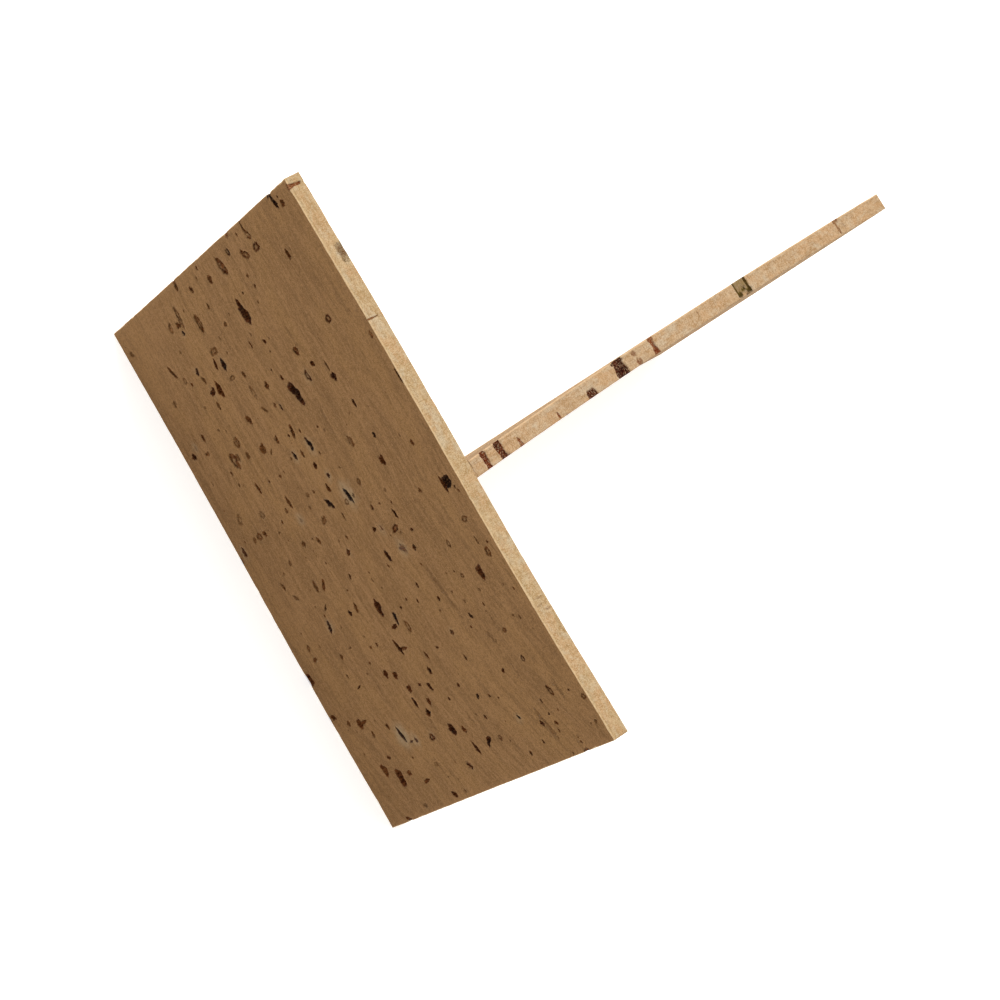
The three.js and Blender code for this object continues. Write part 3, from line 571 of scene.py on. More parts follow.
def make_sheet(name, length, width, thick, front, back, cuts, chips, place, seed, mats, bend=0.0, corner_wear_and_floor_light=0.0, step=0.5, grid=1.0):
    noise = Noise(seed)
    rand = np.random.default_rng(seed)
    cols = outline(length, width, cuts, seed, step)
    base, nrm, side, t = cols[:, :2], cols[:, 2:4], cols[:, 4].astype(int), cols[:, 5]
    n = len(cols)
    arc = np.concatenate([[0], np.cumsum(np.hypot(*np.diff(base, axis=0).T))])
    # the saw's slight wander, and the eased arrises with their chips
    wander = 0.025 * (1 + noise(arc / 14, 2.0)) + 0.010 * (1 + noise(arc / 2.2, 4.0)) - 0.03
    arris = {}
    for k, key in enumerate(("front", "back")):
        r = 0.10 + 0.035 * noise(arc / 3.1, 11.0 + k) + 0.03 * noise(arc / 0.8, 13.0 + k)
        for c in rand.uniform(0, arc[-1], 26):
            r = r + rand.uniform(0.04, 0.16) * np.exp(-(((arc - c) / rand.uniform(0.3, 0.9)) ** 2))
        for s, tc, size, span, face in chips:
            if face == key:
                r = r + np.where(side == s, size * np.exp(-np.abs((t - tc) / span) ** 2.5), 0)
        arris[key] = np.clip(r, 0.05, 0.75)
    rows_w, rows_in = [], []
    for a in (0, 32, 62, 90):
        a = math.radians(a)
        rows_w.append(arris["front"] * (1 - math.cos(a)))
        rows_in.append(arris["front"] * (1 - math.sin(a)))
    mids = 8
    for k in range(1, mids):
        q = k / mids
        rows_w.append(arris["front"] * (1 - q) + (thick - arris["back"]) * q)
        rows_in.append(np.zeros(n))
    for a in (90, 62, 32, 0):
        a = math.radians(a)
        rows_w.append(thick - arris["back"] * (1 - math.cos(a)))
        rows_in.append(arris["back"] * (1 - math.sin(a)))
    R = len(rows_w)
    W_ = np.array(rows_w)
    IN = np.array(rows_in)
    tt = np.broadcast_to(t, W_.shape).ravel()
    ss = np.broadcast_to(side, W_.shape).ravel()
    dep, msk, ton, olv = cut_fields(cuts, ss, tt, W_.ravel(), noise)
    # the fine ribs that a blade leaves across the cut
    ribs = 0.010 * noise(tt * 2.4, W_.ravel() * 0.5, 21.0 + ss) + 0.006 * noise(tt * 6.0, W_.ravel() * 0.9, 31.0)
    fade = np.minimum(smooth(0.0, 0.35, W_.ravel()), smooth(0.0, 0.35, thick - W_.ravel()))
    inset = IN.ravel() + np.broadcast_to(wander, W_.shape).ravel() + dep * (0.35 + 0.65 * fade) + (ribs + 0.012) * fade
    side_u = np.broadcast_to(base[:, 0], W_.shape).ravel() - np.broadcast_to(nrm[:, 0], W_.shape).ravel() * inset
    side_v = np.broadcast_to(base[:, 1], W_.shape).ravel() - np.broadcast_to(nrm[:, 1], W_.shape).ravel() * inset
    side_w = W_.ravel()
    verts = [np.stack([side_u, side_v, side_w], 1)]
    # a pore on a face that reaches the edge shows on the band as well
    fields_side = []
    for pores in (front, back):
        fields_side.append(face_fields(pores, side_u, side_v, noise))
    q = np.clip(side_w / thick, 0, 1)
    near_front, near_back = (1 - q) ** 5, q ** 5
    from_faces = np.maximum(fields_side[0][1] * near_front, fields_side[1][1] * near_back)
    tone_faces = np.where(fields_side[0][1] * near_front > fields_side[1][1] * near_back, fields_side[0][2], fields_side[1][2])
    ton = np.where(from_faces > msk, tone_faces, ton)
    msk = np.maximum(msk, from_faces * 0.9)
    feats = [np.stack([msk, ton, olv, np.ones_like(msk)], 1)]
    polys, mat_index = [], []
    for r_ in range(R - 1):
        a0, b0 = r_ * n, (r_ + 1) * n
        for i in range(n):
            j = (i + 1) % n
            polys.append((a0 + i, a0 + j, b0 + j, b0 + i))
            mat_index.append(1)
    total = R * n
    for which, pores in ((0, front), (1, back)):
        ring_ids = np.arange(n) + (0 if which == 0 else (R - 1) * n)
        ring = verts[0][ring_ids][:, :2]
        pts = [pore_points(f, 1.2 if which else 1.0) for f in pores]
        own = np.concatenate(pts) if pts else np.zeros((0, 2))
        gu, gv = np.meshgrid(np.arange(grid, length, grid), np.arange(grid, width, grid * 0.87))
        gu = gu + (np.arange(gu.shape[0]) % 2)[:, None] * grid / 2
        bg = np.stack([gu.ravel(), gv.ravel()], 1) + rand.uniform(-0.22, 0.22, (gu.size, 2)) * grid
        covered = np.zeros(len(bg), bool)
        for f in pores:
            near = np.flatnonzero((np.abs(bg[:, 0] - f["u"]) < f["a"] * 1.6 + 0.2) & (np.abs(bg[:, 1] - f["v"]) < f["a"] * 1.6 + 0.2))
            if len(near):
                covered[near] |= pore_place(f, bg[near, 0], bg[near, 1]) < 1.3
        pts = np.concatenate([own, bg[~covered]])
        # keep clear of the ring, whose inset varies along each side
        ok = np.ones(len(pts), bool)
        for s in range(4):
            on = side == s
            line = {0: pts[:, 1], 1: length - pts[:, 0], 2: width - pts[:, 1], 3: pts[:, 0]}[s]
            along = pts[:, 0] if s in (0, 2) else pts[:, 1]
            order = np.argsort(t[on])
            ring_in = {0: ring[on][:, 1], 1: length - ring[on][:, 0], 2: width - ring[on][:, 1], 3: ring[on][:, 0]}[s]
            tr, ri = t[on][order], ring_in[order]
            wide = np.maximum(np.interp(along - 0.12, tr, ri), np.interp(along + 0.12, tr, ri))
            ok &= line > np.maximum(wide, np.interp(along, tr, ri)) + 0.13
        pts = pts[ok]
        cell = np.round(pts / 0.07).astype(np.int64)
        _, first = np.unique(cell[:, 0] * 100003 + cell[:, 1], return_index=True)
        pts = pts[np.sort(first)]
        every = np.concatenate([ring, pts])
        got = delaunay_2d_cdt([Vector(p) for p in every], [], [list(range(n))], 1, 1e-7)
        co = np.array([(p.x, p.y) for p in got[0]])
        ids = np.empty(len(co), int)
        for k, orig in enumerate(got[3]):
            if not orig:
                raise RuntimeError(f"{name}: the face gained a point at {co[k]}")
            ids[k] = min(orig)
        u, v = pts[:, 0], pts[:, 1]
        edge = np.minimum.reduce([u, v, length - u, width - v])
        dep_f, msk_f, ton_f, hal_f = face_fields(pores, u, v, noise)
        relief = 0.022 * noise.fbm(u / 7.5, v / 3.6, 50.0 + which) + 0.011 * noise(u / 1.6, v / 0.8, 60.0 + which)
        relief = relief * smooth(0.15, 1.2, edge) + dep_f * smooth(0.12, 0.55, edge)
        w = relief if which == 0 else thick - relief
        verts.append(np.stack([u, v, w], 1))
        # Lighter near the edges, and on the front face round the lower near corner: a painted highlight along the
        # arrises and painted light from the floor's bounce, with some wear.
        wear_and_painted_light = 1 - smooth(0.1, 0.9, edge)
        if corner_wear_and_floor_light and which == 0:
            wear_and_painted_light = np.maximum(wear_and_painted_light, corner_wear_and_floor_light * (1 - smooth(3, 27, np.hypot(u - 2, (width - v) * 0.85))))
        feats.append(np.stack([msk_f, ton_f, hal_f, wear_and_painted_light], 1))
        index = np.concatenate([ring_ids, total + np.arange(len(pts))])
        total += len(pts)
        for poly in got[2]:
            p = [int(index[ids[k]]) for k in poly]
            polys.append(tuple(p) if which == 1 else tuple(p[::-1]))
            mat_index.append(0)
        # the ring keeps the band's colours, which take in the face's pores where these reach the edge
    verts, feats = np.concatenate(verts), np.concatenate(feats)
    world = place(verts)
    mesh = bpy.data.meshes.new(name)
    mesh.from_pydata((world * MM).tolist(), [], polys)
    mesh.polygons.foreach_set("material_index", np.array(mat_index, np.int32))
    # outward normals, whichever hand the sheet's own axes have
    mesh.update()
    mesh.calc_loop_triangles()
    tri = np.empty(len(mesh.loop_triangles) * 3, np.int32)
    mesh.loop_triangles.foreach_get("vertices", tri)
    p = world[tri.reshape(-1, 3)]
    if np.einsum("ij,ij->i", p[:, 0], np.cross(p[:, 1], p[:, 2])).sum() < 0:
        mesh.flip_normals()
    grain = verts.copy()
    grain[:, 1] = verts[:, 1] + bend * np.maximum(0, verts[:, 0] - 0.45 * length) ** 2 * (1 - 0.35 * verts[:, 1] / width)
    grain[:, 1] += 0.9 * noise(verts[:, 0] / 16, verts[:, 1] / 20, 70.0) + 0.35 * noise(verts[:, 0] / 5, verts[:, 1] / 9, 71.0)
    for key, values in (("suv", verts), ("grain", grain)):
        at = mesh.attributes.new(key, "FLOAT_VECTOR", "POINT")
        at.data.foreach_set("vector", values.astype(np.float32).ravel())
    at = mesh.attributes.new("feat", "FLOAT_COLOR", "POINT")
    at.data.foreach_set("color", feats.astype(np.float32).ravel())
    for m in mats:
        mesh.materials.append(m)
    mesh.shade_smooth()
    mesh.set_sharp_from_angle(angle=math.radians(38))
    mesh.update()
    ob = bpy.data.objects.new(name, mesh)
    bpy.context.scene.collection.objects.link(ob)
    return ob


# ---------------------------------------------------------------- how each sheet lies in the row frame
BOW_U = np.array([0, 10, 20, 30, 40, 50, 60, 72, 85, 100.0])
BOW_W = np.array([0, 0.04, 0.12, 0.08, -0.03, -0.18, -0.37, -0.44, -0.28, 0.0])
TWIST_B, TWIST_C = 1.10, -0.98    # how far the two lower corners are out of the plate's plane


def plate_bow(u, v):
    bow = np.interp(u, BOW_U, BOW_W)
    bow = (bow + np.interp(np.clip(u - 5, 0, 100), BOW_U, BOW_W) + np.interp(np.clip(u + 5, 0, 100), BOW_U, BOW_W)) / 3
    return bow * (1 - 0.35 * v / WIDTH) + v / WIDTH * (TWIST_B * (1 - u / LENGTH) + TWIST_C * u / LENGTH)


def place_plate(p):
    u, v, w = p[:, 0], p[:, 1], p[:, 2]
    w = w + plate_bow(u, v)
    u = u - 0.30 * np.exp(-u / 4) * np.exp(-v / 30) + 0.18 * np.exp((u - LENGTH) / 4)
    return np.stack([X0 + u, FACE_Y + w, TOP_Z - v], 1)


LOWER_U = np.array([0, 30, 50, 67, 82, 92, 100.0])
LOWER_W = np.array([0.10, 0.32, 0.42, 0.42, 0.65, 1.10, 1.65])


def web_bow(u, v):
    top = -0.72 * np.sin(math.pi * np.clip(u / LENGTH, 0, 1)) ** 0.85
    return top * (1 - v / WIDTH) + np.interp(u, LOWER_U, LOWER_W) * v / WIDTH


def place_web(p):
    u, v, w = p[:, 0], p[:, 1], p[:, 2]
    u = u * 1.0060 - 0.150 + 0.25 * np.exp((u - LENGTH) / 5)         # it starts hard against the plate, in the glue
    off = w - THICK / 2 + web_bow(u, v)
    # the root follows the plate's back, which is bowed a little away from it
    follow = plate_bow(np.full_like(v, ROOT_U), v) * (1 - smooth(0, 30, u))
    return np.stack([
        WEB_OFFSET - u * math.sin(LEAN) + off * math.cos(LEAN),
        ROOT_Y + u * math.cos(LEAN) + off * math.sin(LEAN) * smooth(0.5, 3, u) + follow,
        TOP_Z - v,
    ], 1)


# ---------------------------------------------------------------- materials
class Nodes:
    def __init__(self, name):
        self.mat = bpy.data.materials.new(name)
        self.mat.use_nodes = True
        self.tree = self.mat.node_tree
        self.tree.nodes.clear()
        self.out = self.add("ShaderNodeOutputMaterial")
        self.bsdf = self.add("ShaderNodeBsdfPrincipled")
        self.link(self.bsdf.outputs[0], self.out.inputs[0])

    def add(self, kind, **props):
        node = self.tree.nodes.new(kind)
        for k, v in props.items():
            setattr(node, k, v)
        return node

    def link(self, a, b):
        self.tree.links.new(a, b)

    def attr(self, name, output="Vector"):
        node = self.add("ShaderNodeAttribute", attribute_name=name, attribute_type="GEOMETRY")
        return node.outputs[output]

    def scale(self, vector, xyz, shift=(0, 0, 0)):
        node = self.add("ShaderNodeMapping")
        self.link(vector, node.inputs["Vector"])
        node.inputs["Scale"].default_value = xyz
        node.inputs["Location"].default_value = shift
        return node.outputs[0]

    def noise(self, vector, scale=1.0, detail=3.0, rough=0.5, distort=0.0):
        node = self.add("ShaderNodeTexNoise")
        self.link(vector, node.inputs["Vector"])
        for k, v in (("Scale", scale), ("Detail", detail), ("Roughness", rough), ("Distortion", distort)):
            node.inputs[k].default_value = v
        return node.outputs["Fac"]

    def ramp(self, fac, stops, ease="LINEAR"):
        node = self.add("ShaderNodeValToRGB")
        node.color_ramp.interpolation = ease
        el = node.color_ramp.elements
        while len(el) < len(stops):
            el.new(0.5)
        for e, (pos, col) in zip(el, stops):
            e.position = pos
            e.color = (*col, 1) if len(col) == 3 else col
        self.link(fac, node.inputs[0])
        return node.outputs[0]

    def grey(self, fac, lo, hi, out_lo=0.0, out_hi=1.0):
        node = self.add("ShaderNodeMapRange", clamp=True)
        self.link(fac, node.inputs["Value"])
        for k, v in (("From Min", lo), ("From Max", hi), ("To Min", out_lo), ("To Max", out_hi)):
            node.inputs[k].default_value = v
        return node.outputs[0]

    def maths(self, op, a, b=None):
        node = self.add("ShaderNodeMath", operation=op)
        for i, x in enumerate((a, b)):
            if x is None:
                continue
            if isinstance(x, (int, float)):
                node.inputs[i].default_value = x
            else:
                self.link(x, node.inputs[i])
        return node.outputs[0]

    def mix(self, fac, a, b, blend="MIX"):
        node = self.add("ShaderNodeMix", data_type="RGBA", blend_type=blend)
        ins = [s for s in node.inputs if s.enabled]
        for s, x in zip(ins, (fac, a, b)):
            if isinstance(x, (int, float)):
                s.default_value = x
            elif isinstance(x, tuple):
                s.default_value = (*x, 1)
            else:
                self.link(x, s)
        return [s for s in node.outputs if s.enabled][0]

    def split(self, colour):
        node = self.add("ShaderNodeSeparateColor")
        self.link(colour, node.inputs[0])
        return node.outputs

    def bump(self, height, distance, strength=1.0, normal=None):
        node = self.add("ShaderNodeBump")
        node.inputs["Distance"].default_value = distance
        node.inputs["Strength"].default_value = strength
        self.link(height, node.inputs["Height"])
        if normal is not None:
            self.link(normal, node.inputs["Normal"])
        return node.outputs[0]


def cork_face(name, dark, mid, light, warm, pale):
    """The broad face: softly streaked along the grain, mottled, with crumbled bark in its pores."""
    m = Nodes(name)
    suv, grain = m.attr("suv"), m.attr("grain")
    wear_and_painted_light = m.attr("feat", "Alpha")
    rgb = m.split(m.attr("feat", "Color"))
    pore_, tone, halo = rgb[0], rgb[1], rgb[2]
    drift = m.noise(m.scale(grain, (0.05, 0.10, 0.2), (2, 7, 0)), 1.0, 2.0, 0.5, 0.3)
    streak = m.noise(m.scale(grain, (0.16, 0.62, 0.5)), 1.0, 5.0, 0.6, 0.7)
    short = m.noise(m.scale(grain, (0.11, 0.85, 0.4), (9, 4, 1)), 1.0, 4.0, 0.6, 0.9)
    fine = m.noise(m.scale(grain, (0.8, 3.0, 1.0), (1, 5, 0)), 1.0, 3.0, 0.6, 0.6)
    cells = m.noise(suv, 1.9, 6.0, 0.72, 0.4)
    grit = m.noise(suv, 6.5, 2.0, 0.6)
    broad = m.noise(m.scale(grain, (0.045, 0.15, 0.3), (5, 1, 2)), 1.0, 3.0, 0.55, 0.4)
    base = m.ramp(streak, [(0.38, dark), (0.5, mid), (0.62, light)])
    base = m.mix(m.grey(drift, 0.46, 0.58, 0.0, 0.85), base, warm)
    base = m.mix(m.grey(broad, 0.52, 0.64, 0.0, 0.75), base, tuple(c * 0.96 for c in dark))
    base = m.mix(m.grey(short, 0.52, 0.64, 0.0, 0.75), base, tuple(c * 0.80 for c in dark))
    base = m.mix(m.grey(short, 0.48, 0.36, 0.0, 0.70), base, tuple(c * 1.06 for c in light))
    base = m.mix(m.grey(fine, 0.50, 0.68, 0.0, 0.60), base, dark)
    base = m.mix(m.grey(fine, 0.50, 0.34, 0.0, 0.55), base, light)
    base = m.mix(m.grey(cells, 0.50, 0.63, 0.0, 0.58), base, tuple(c * 1.10 for c in light))
    base = m.mix(m.grey(cells, 0.50, 0.37, 0.0, 0.62), base, tuple(c * 0.80 for c in dark))
    base = m.mix(m.grey(grit, 0.51, 0.68, 0.0, 0.75), base, tuple(c * 1.22 for c in light))
    base = m.mix(m.grey(grit, 0.49, 0.32, 0.0, 0.80), base, tuple(c * 0.68 for c in dark))
    fleck = m.noise(m.scale(suv, (1.7, 2.6, 2.0), (7, 3, 1)), 1.0, 2.0, 0.6)
    base = m.mix(m.grey(fleck, 0.68, 0.75, 0.0, 0.45), base, tuple(c * 0.5 for c in dark))
    base = m.mix(m.maths("MULTIPLY", halo, m.grey(cells, 0.3, 0.6, 0.35, 0.75)), base, pale)
    # Painted highlight along the edges and painted floor light at one corner, with some real wear: the face is
    # lightened where the feat alpha is high.
    base = m.mix(m.maths("MULTIPLY", wear_and_painted_light, m.grey(cells, 0.38, 0.62, 0.15, 0.85)), base, light)
    crumbs = m.noise(suv, 3.4, 4.0, 0.7)
    across = m.noise(m.scale(suv, (4.2, 1.0, 1.0), (0, 3, 5)), 1.0, 3.0, 0.65, 0.4)
    bark = m.ramp(tone, [(0.0, (0.012, 0.0045, 0.003)), (0.25, (0.060, 0.013, 0.003)), (0.5, (0.120, 0.031, 0.005)),
                         (0.75, (0.170, 0.062, 0.014)), (1.0, (0.195, 0.092, 0.029))])
    rust = m.ramp(tone, [(0.0, (0.050, 0.020, 0.008)), (0.3, (0.165, 0.052, 0.014)), (0.6, (0.230, 0.088, 0.026)), (1.0, (0.225, 0.112, 0.042))])
    bark = m.mix(m.grey(across, 0.47, 0.60, 0.0, 0.90), bark, rust)
    bark = m.mix(m.grey(crumbs, 0.54, 0.68, 0.0, 0.75), bark, tuple(c * 0.88 for c in mid))
    bark = m.mix(m.grey(across, 0.44, 0.36, 0.0, 0.60), bark, (0.020, 0.007, 0.003))
    bark = m.mix(m.maths("MULTIPLY", halo, m.grey(crumbs, 0.45, 0.65, 0.1, 0.8)), bark, (0.115, 0.105, 0.088))
    ragged = m.maths("ADD", pore_, m.maths("MULTIPLY", m.maths("SUBTRACT", crumbs, 0.5), 0.85))
    ragged = m.maths("ADD", ragged, m.maths("MULTIPLY", m.maths("SUBTRACT", grit, 0.5), 0.35))
    amount = m.maths("MULTIPLY", m.grey(ragged, 0.25, 0.58), m.grey(pore_, 0.02, 0.16))
    base = m.mix(amount, base, bark)
    m.link(base, m.bsdf.inputs["Base Color"])
    m.link(m.grey(fine, 0.3, 0.7, 0.80, 0.93), m.bsdf.inputs["Roughness"])
    m.bsdf.inputs["Specular IOR Level"].default_value = 0.08
    n1 = m.bump(m.maths("ADD", streak, m.maths("MULTIPLY", short, -1.0)), 0.00016, 0.45)
    n2 = m.bump(m.maths("ADD", cells, m.maths("MULTIPLY", grit, 0.5)), 0.00007, 0.7, n1)
    n3 = m.bump(m.maths("MULTIPLY", crumbs, amount), 0.0003, 0.9, n2)
    m.link(n3, m.bsdf.inputs["Normal"])
    return m.mat


def cork_cut(name, dark, mid, light, warm, pale):
    """The sawn edge: paler, finely mottled, with faint ribs across the sheet and the odd pore cut through."""
    m = Nodes(name)
    suv = m.attr("suv")
    rgb = m.split(m.attr("feat", "Color"))
    pore_, tone, olive = rgb[0], rgb[1], rgb[2]
    axes = m.add("ShaderNodeSeparateXYZ")
    m.link(suv, axes.inputs[0])
    ribs = m.noise(m.scale(suv, (2.2, 2.2, 0.45)), 1.0, 4.0, 0.62, 0.7)
    years = m.noise(m.scale(suv, (0.30, 0.30, 0.95)), 1.0, 4.0, 0.6, 0.8)
    patch = m.noise(m.scale(suv, (0.19, 0.19, 0.33), (3, 3, 8)), 1.0, 3.0, 0.55, 0.3)
    grey_ = m.noise(m.scale(suv, (0.22, 0.22, 0.38), (8, 1, 3)), 1.0, 3.0, 0.55, 0.3)
    cells = m.noise(suv, 2.1, 5.0, 0.70, 0.4)
    grit = m.noise(suv, 5.5, 2.0, 0.6)
    near = m.noise(m.scale(suv, (0.55, 0.55, 0.8), (4, 9, 5)), 1.0, 3.0, 0.55, 0.5)
    rows = m.noise(m.scale(suv, (0.16, 0.16, 2.3), (1, 8, 4)), 1.0, 4.0, 0.6, 0.9)
    base = m.ramp(years, [(0.38, dark), (0.5, mid), (0.62, light)])
    base = m.mix(m.grey(patch, 0.49, 0.58, 0.0, 0.90), base, warm)
    base = m.mix(m.grey(grey_, 0.53, 0.62, 0.0, 0.90), base, pale)
    base = m.mix(m.grey(near, 0.52, 0.62, 0.0, 0.55), base, tuple(c * 1.05 for c in pale))
    base = m.mix(m.grey(near, 0.46, 0.36, 0.0, 0.55), base, tuple(c * 0.98 for c in warm))
    base = m.mix(m.grey(rows, 0.55, 0.66, 0.0, 0.65), base, tuple(c * 0.85 for c in dark))
    base = m.mix(m.grey(ribs, 0.52, 0.66, 0.0, 0.60), base, dark)
    base = m.mix(m.grey(ribs, 0.46, 0.32, 0.0, 0.55), base, light)
    base = m.mix(m.grey(cells, 0.50, 0.64, 0.0, 0.50), base, tuple(c * 1.05 for c in light))
    base = m.mix(m.grey(cells, 0.50, 0.36, 0.0, 0.55), base, tuple(c * 0.92 for c in dark))
    base = m.mix(m.grey(grit, 0.51, 0.67, 0.0, 0.60), base, tuple(c * 1.12 for c in pale))
    base = m.mix(m.grey(grit, 0.49, 0.33, 0.0, 0.65), base, tuple(c * 0.75 for c in dark))
    # Painted highlight: the band is lightened along its front arris, a thin bright line where the eased edge catches
    # the light.
    painted_arris_highlight = m.maths("MULTIPLY", m.grey(axes.outputs[2], 0.10, 0.30, 1.0, 0.0), m.grey(cells, 0.36, 0.6, 0.35, 1.0))
    base = m.mix(painted_arris_highlight, base, tuple(c * 1.20 for c in light))
    crumbs = m.noise(m.scale(suv, (4.4, 4.4, 2.8)), 1.0, 4.0, 0.72)
    bark = m.ramp(tone, [(0.0, (0.020, 0.003, 0.001)), (0.3, (0.056, 0.006, 0.001)), (0.6, (0.150, 0.029, 0.007)),
                         (0.8, (0.230, 0.075, 0.026)), (1.0, (0.36, 0.165, 0.070))])
    rust = m.ramp(tone, [(0.0, (0.11, 0.040, 0.022)), (0.3, (0.24, 0.072, 0.026)), (0.6, (0.36, 0.140, 0.052)), (1.0, (0.42, 0.22, 0.10))])
    bark = m.mix(m.grey(crumbs, 0.53, 0.64, 0.0, 0.9), bark, rust)
    dust = m.noise(m.scale(suv, (7.5, 7.5, 4.5), (2, 6, 1)), 1.0, 2.0, 0.6)
    bark = m.mix(m.grey(dust, 0.58, 0.64, 0.0, 0.90), bark, light)
    bark = m.mix(m.maths("MULTIPLY", olive, 0.95), bark, m.ramp(tone, [(0.10, (0.062, 0.038, 0.006)), (0.45, (0.150, 0.098, 0.024)), (0.85, (0.30, 0.205, 0.080))]))
    ragged = m.maths("ADD", pore_, m.maths("MULTIPLY", m.maths("SUBTRACT", crumbs, 0.5), 1.0))
    ragged = m.maths("ADD", ragged, m.maths("MULTIPLY", m.maths("SUBTRACT", grit, 0.5), 0.4))
    amount = m.maths("MULTIPLY", m.grey(ragged, 0.18, 0.66), m.grey(pore_, 0.02, 0.15))
    base = m.mix(amount, base, bark)
    m.link(base, m.bsdf.inputs["Base Color"])
    m.link(m.grey(ribs, 0.3, 0.7, 0.82, 0.95), m.bsdf.inputs["Roughness"])
    m.bsdf.inputs["Specular IOR Level"].default_value = 0.08
    n1 = m.bump(ribs, 0.00009, 0.5)
    n2 = m.bump(m.maths("ADD", cells, m.maths("MULTIPLY", grit, 0.5)), 0.00008, 0.7, n1)
    n3 = m.bump(m.maths("MULTIPLY", crumbs, amount), 0.0003, 0.9, n2)
    m.link(n3, m.bsdf.inputs["Normal"])
    return m.mat


def glue_material():
    m = Nodes("cured_glue")
    suv = m.attr("suv")
    cloud = m.noise(m.scale(suv, (0.6, 0.35, 0.6)), 1.0, 4.0, 0.6)
    dust = m.noise(suv, 5.0, 3.0, 0.6)
    base = m.ramp(cloud, [(0.3, (0.32, 0.185, 0.080)), (0.55, (0.43, 0.265, 0.125)), (0.75, (0.50, 0.33, 0.17))])
    base = m.mix(m.grey(dust, 0.6, 0.72, 0.0, 0.6), base, (0.50, 0.33, 0.18))
    m.link(base, m.bsdf.inputs["Base Color"])
    m.link(m.grey(dust, 0.4, 0.7, 0.34, 0.75), m.bsdf.inputs["Roughness"])
    m.link(m.bump(cloud, 0.00012, 0.6), m.bsdf.inputs["Normal"])
    return m.mat


# Painted shade: the plate's faces get a colour much darker than the same cork has on its cut edges, standing in for the
# shade that they sit in.
FACE_PAINTED_SHADE = dict(dark=(0.1715, 0.0887, 0.0333), mid=(0.2176, 0.1137, 0.0441), light=(0.2695, 0.1460, 0.0612),
            warm=(0.2568, 0.1372, 0.0500), pale=(0.2940, 0.2107, 0.1235))
CUT = dict(dark=(0.335, 0.209, 0.090), mid=(0.423, 0.285, 0.144), light=(0.505, 0.359, 0.202),
           warm=(0.457, 0.273, 0.134), pale=(0.480, 0.385, 0.260))
# Painted light: the web's faces get a paler colour than the plate's faces, as pale as the cut edges, standing in for
# the side light that falls on them.
WEB_PAINTED_LIGHT = dict(dark=(0.330, 0.196, 0.092), mid=(0.425, 0.272, 0.142), light=(0.510, 0.345, 0.196),
           warm=(0.440, 0.282, 0.142), pale=(0.480, 0.360, 0.236))
mat_face = cork_face("cork_plate_face", **FACE_PAINTED_SHADE)
mat_cut = cork_cut("cork_plate_cut", **CUT)
mat_web = cork_face("cork_web_face", **WEB_PAINTED_LIGHT)
mat_web_cut = cork_cut("cork_web_cut", **{**CUT, "mid": (0.418, 0.270, 0.143), "dark": (0.325, 0.192, 0.088), "light": (0.495, 0.338, 0.200), "pale": (0.47, 0.372, 0.258)})

# ---------------------------------------------------------------- the two sheets
small_front = specks(110, LENGTH, WIDTH, 21, SOLE_PORES)
streaks = [(u, v, a * 1.1, b * 1.8, deg, "G", 1.0, k * 0.9, 0.0) for u, v, a, b, deg, k in SOLE_STREAKS]
front_list = SOLE_PORES + small_front + streaks
back_list = through(SOLE_PORES, 31) + specks(70, LENGTH, WIDTH, 32, SOLE_PORES)
sole_front = [pore(*f, seed=1000 + i) for i, f in enumerate(front_list)]
sole_back = [pore(*f, seed=3000 + i) for i, f in enumerate(back_list)]
for f in sole_front[len(SOLE_PORES) + len(small_front):]:
    f["soft"] = True              # a streak has no outline to hold
SOLE_CHIPS = [
    (3, 24.5, 0.16, 0.6, "front"), (3, 47.5, 0.14, 0.5, "front"), (3, 66.5, 0.16, 0.5, "front"), (3, 6.2, 0.20, 0.7, "front"),
    (0, 1.75, 0.22, 0.25, "back"), (0, 0.6, 0.10, 0.8, "back"), (0, 39.9, 0.10, 1.2, "back"), (0, 35.3, 0.10, 1.2, "front"),
    (0, 24.9, 0.16, 0.25, "front"),
    (1, 30.0, 0.25, 0.7, "back"), (1, 69.0, 0.2, 0.8, "front"), (2, 70.3, 0.30, 1.2, "front"), (2, 20.0, 0.22, 0.6, "back"),
    (2, 52.0, 0.18, 0.5, "front"), (2, 88.0, 0.25, 0.8, "back"),
]
# The corner setting lightens the front face round its lower near corner: painted light from the floor's bounce, with
# some wear.
sole = make_sheet("sole_plate_cork", LENGTH, WIDTH, THICK, sole_front, sole_back, SOLE_CUTS, SOLE_CHIPS, place_plate, 7,
                  (mat_face, mat_cut), bend=0.0042, corner_wear_and_floor_light=0.55)

web_known = [
    (2.8, 0.2, 0.9, 1.4, 0, "L", 0.5, 1.0, 0.0), (6.0, 0.1, 1.4, 1.2, 0, "L", 0.35, 0.9, 0.0),
    (33.7, 0.2, 2.2, 2.2, 0, "L", 0.2, 1.0, 0.0), (41.9, 0.1, 1.0, 1.0, 0, "L", 0.6, 0.9, 0.0),
    (63.9, 0.3, 2.8, 1.4, 0, "G", 0.2, 0.9, 0.8), (88.9, 0.1, 0.6, 1.2, 0, "L", 0.7, 0.8, 0.0),
]
web_wild = wild_pores(165, LENGTH, WIDTH, 57, web_known)
web_left = web_known + web_wild + specks(90, LENGTH, WIDTH, 58, web_wild)
web_right = through(web_known + web_wild, 59) + specks(80, LENGTH, WIDTH, 60, web_wild)
left = [pore(*f, seed=5000 + i) for i, f in enumerate(web_left)]
right = [pore(*f, seed=7000 + i) for i, f in enumerate(web_right)]
WEB_CHIPS = [
    (0, 34.5, 0.12, 1.1, "back"), (0, 71.0, 0.08, 0.6, "front"), (1, 11.8, 0.25, 0.8, "front"), (1, 50.0, 0.22, 0.9, "back"),
    (2, 45.0, 0.28, 1.0, "front"), (2, 12.7, 0.25, 0.7, "back"), (2, 80.0, 0.2, 0.6, "front"), (3, 30.0, 0.1, 0.6, "front"),
]
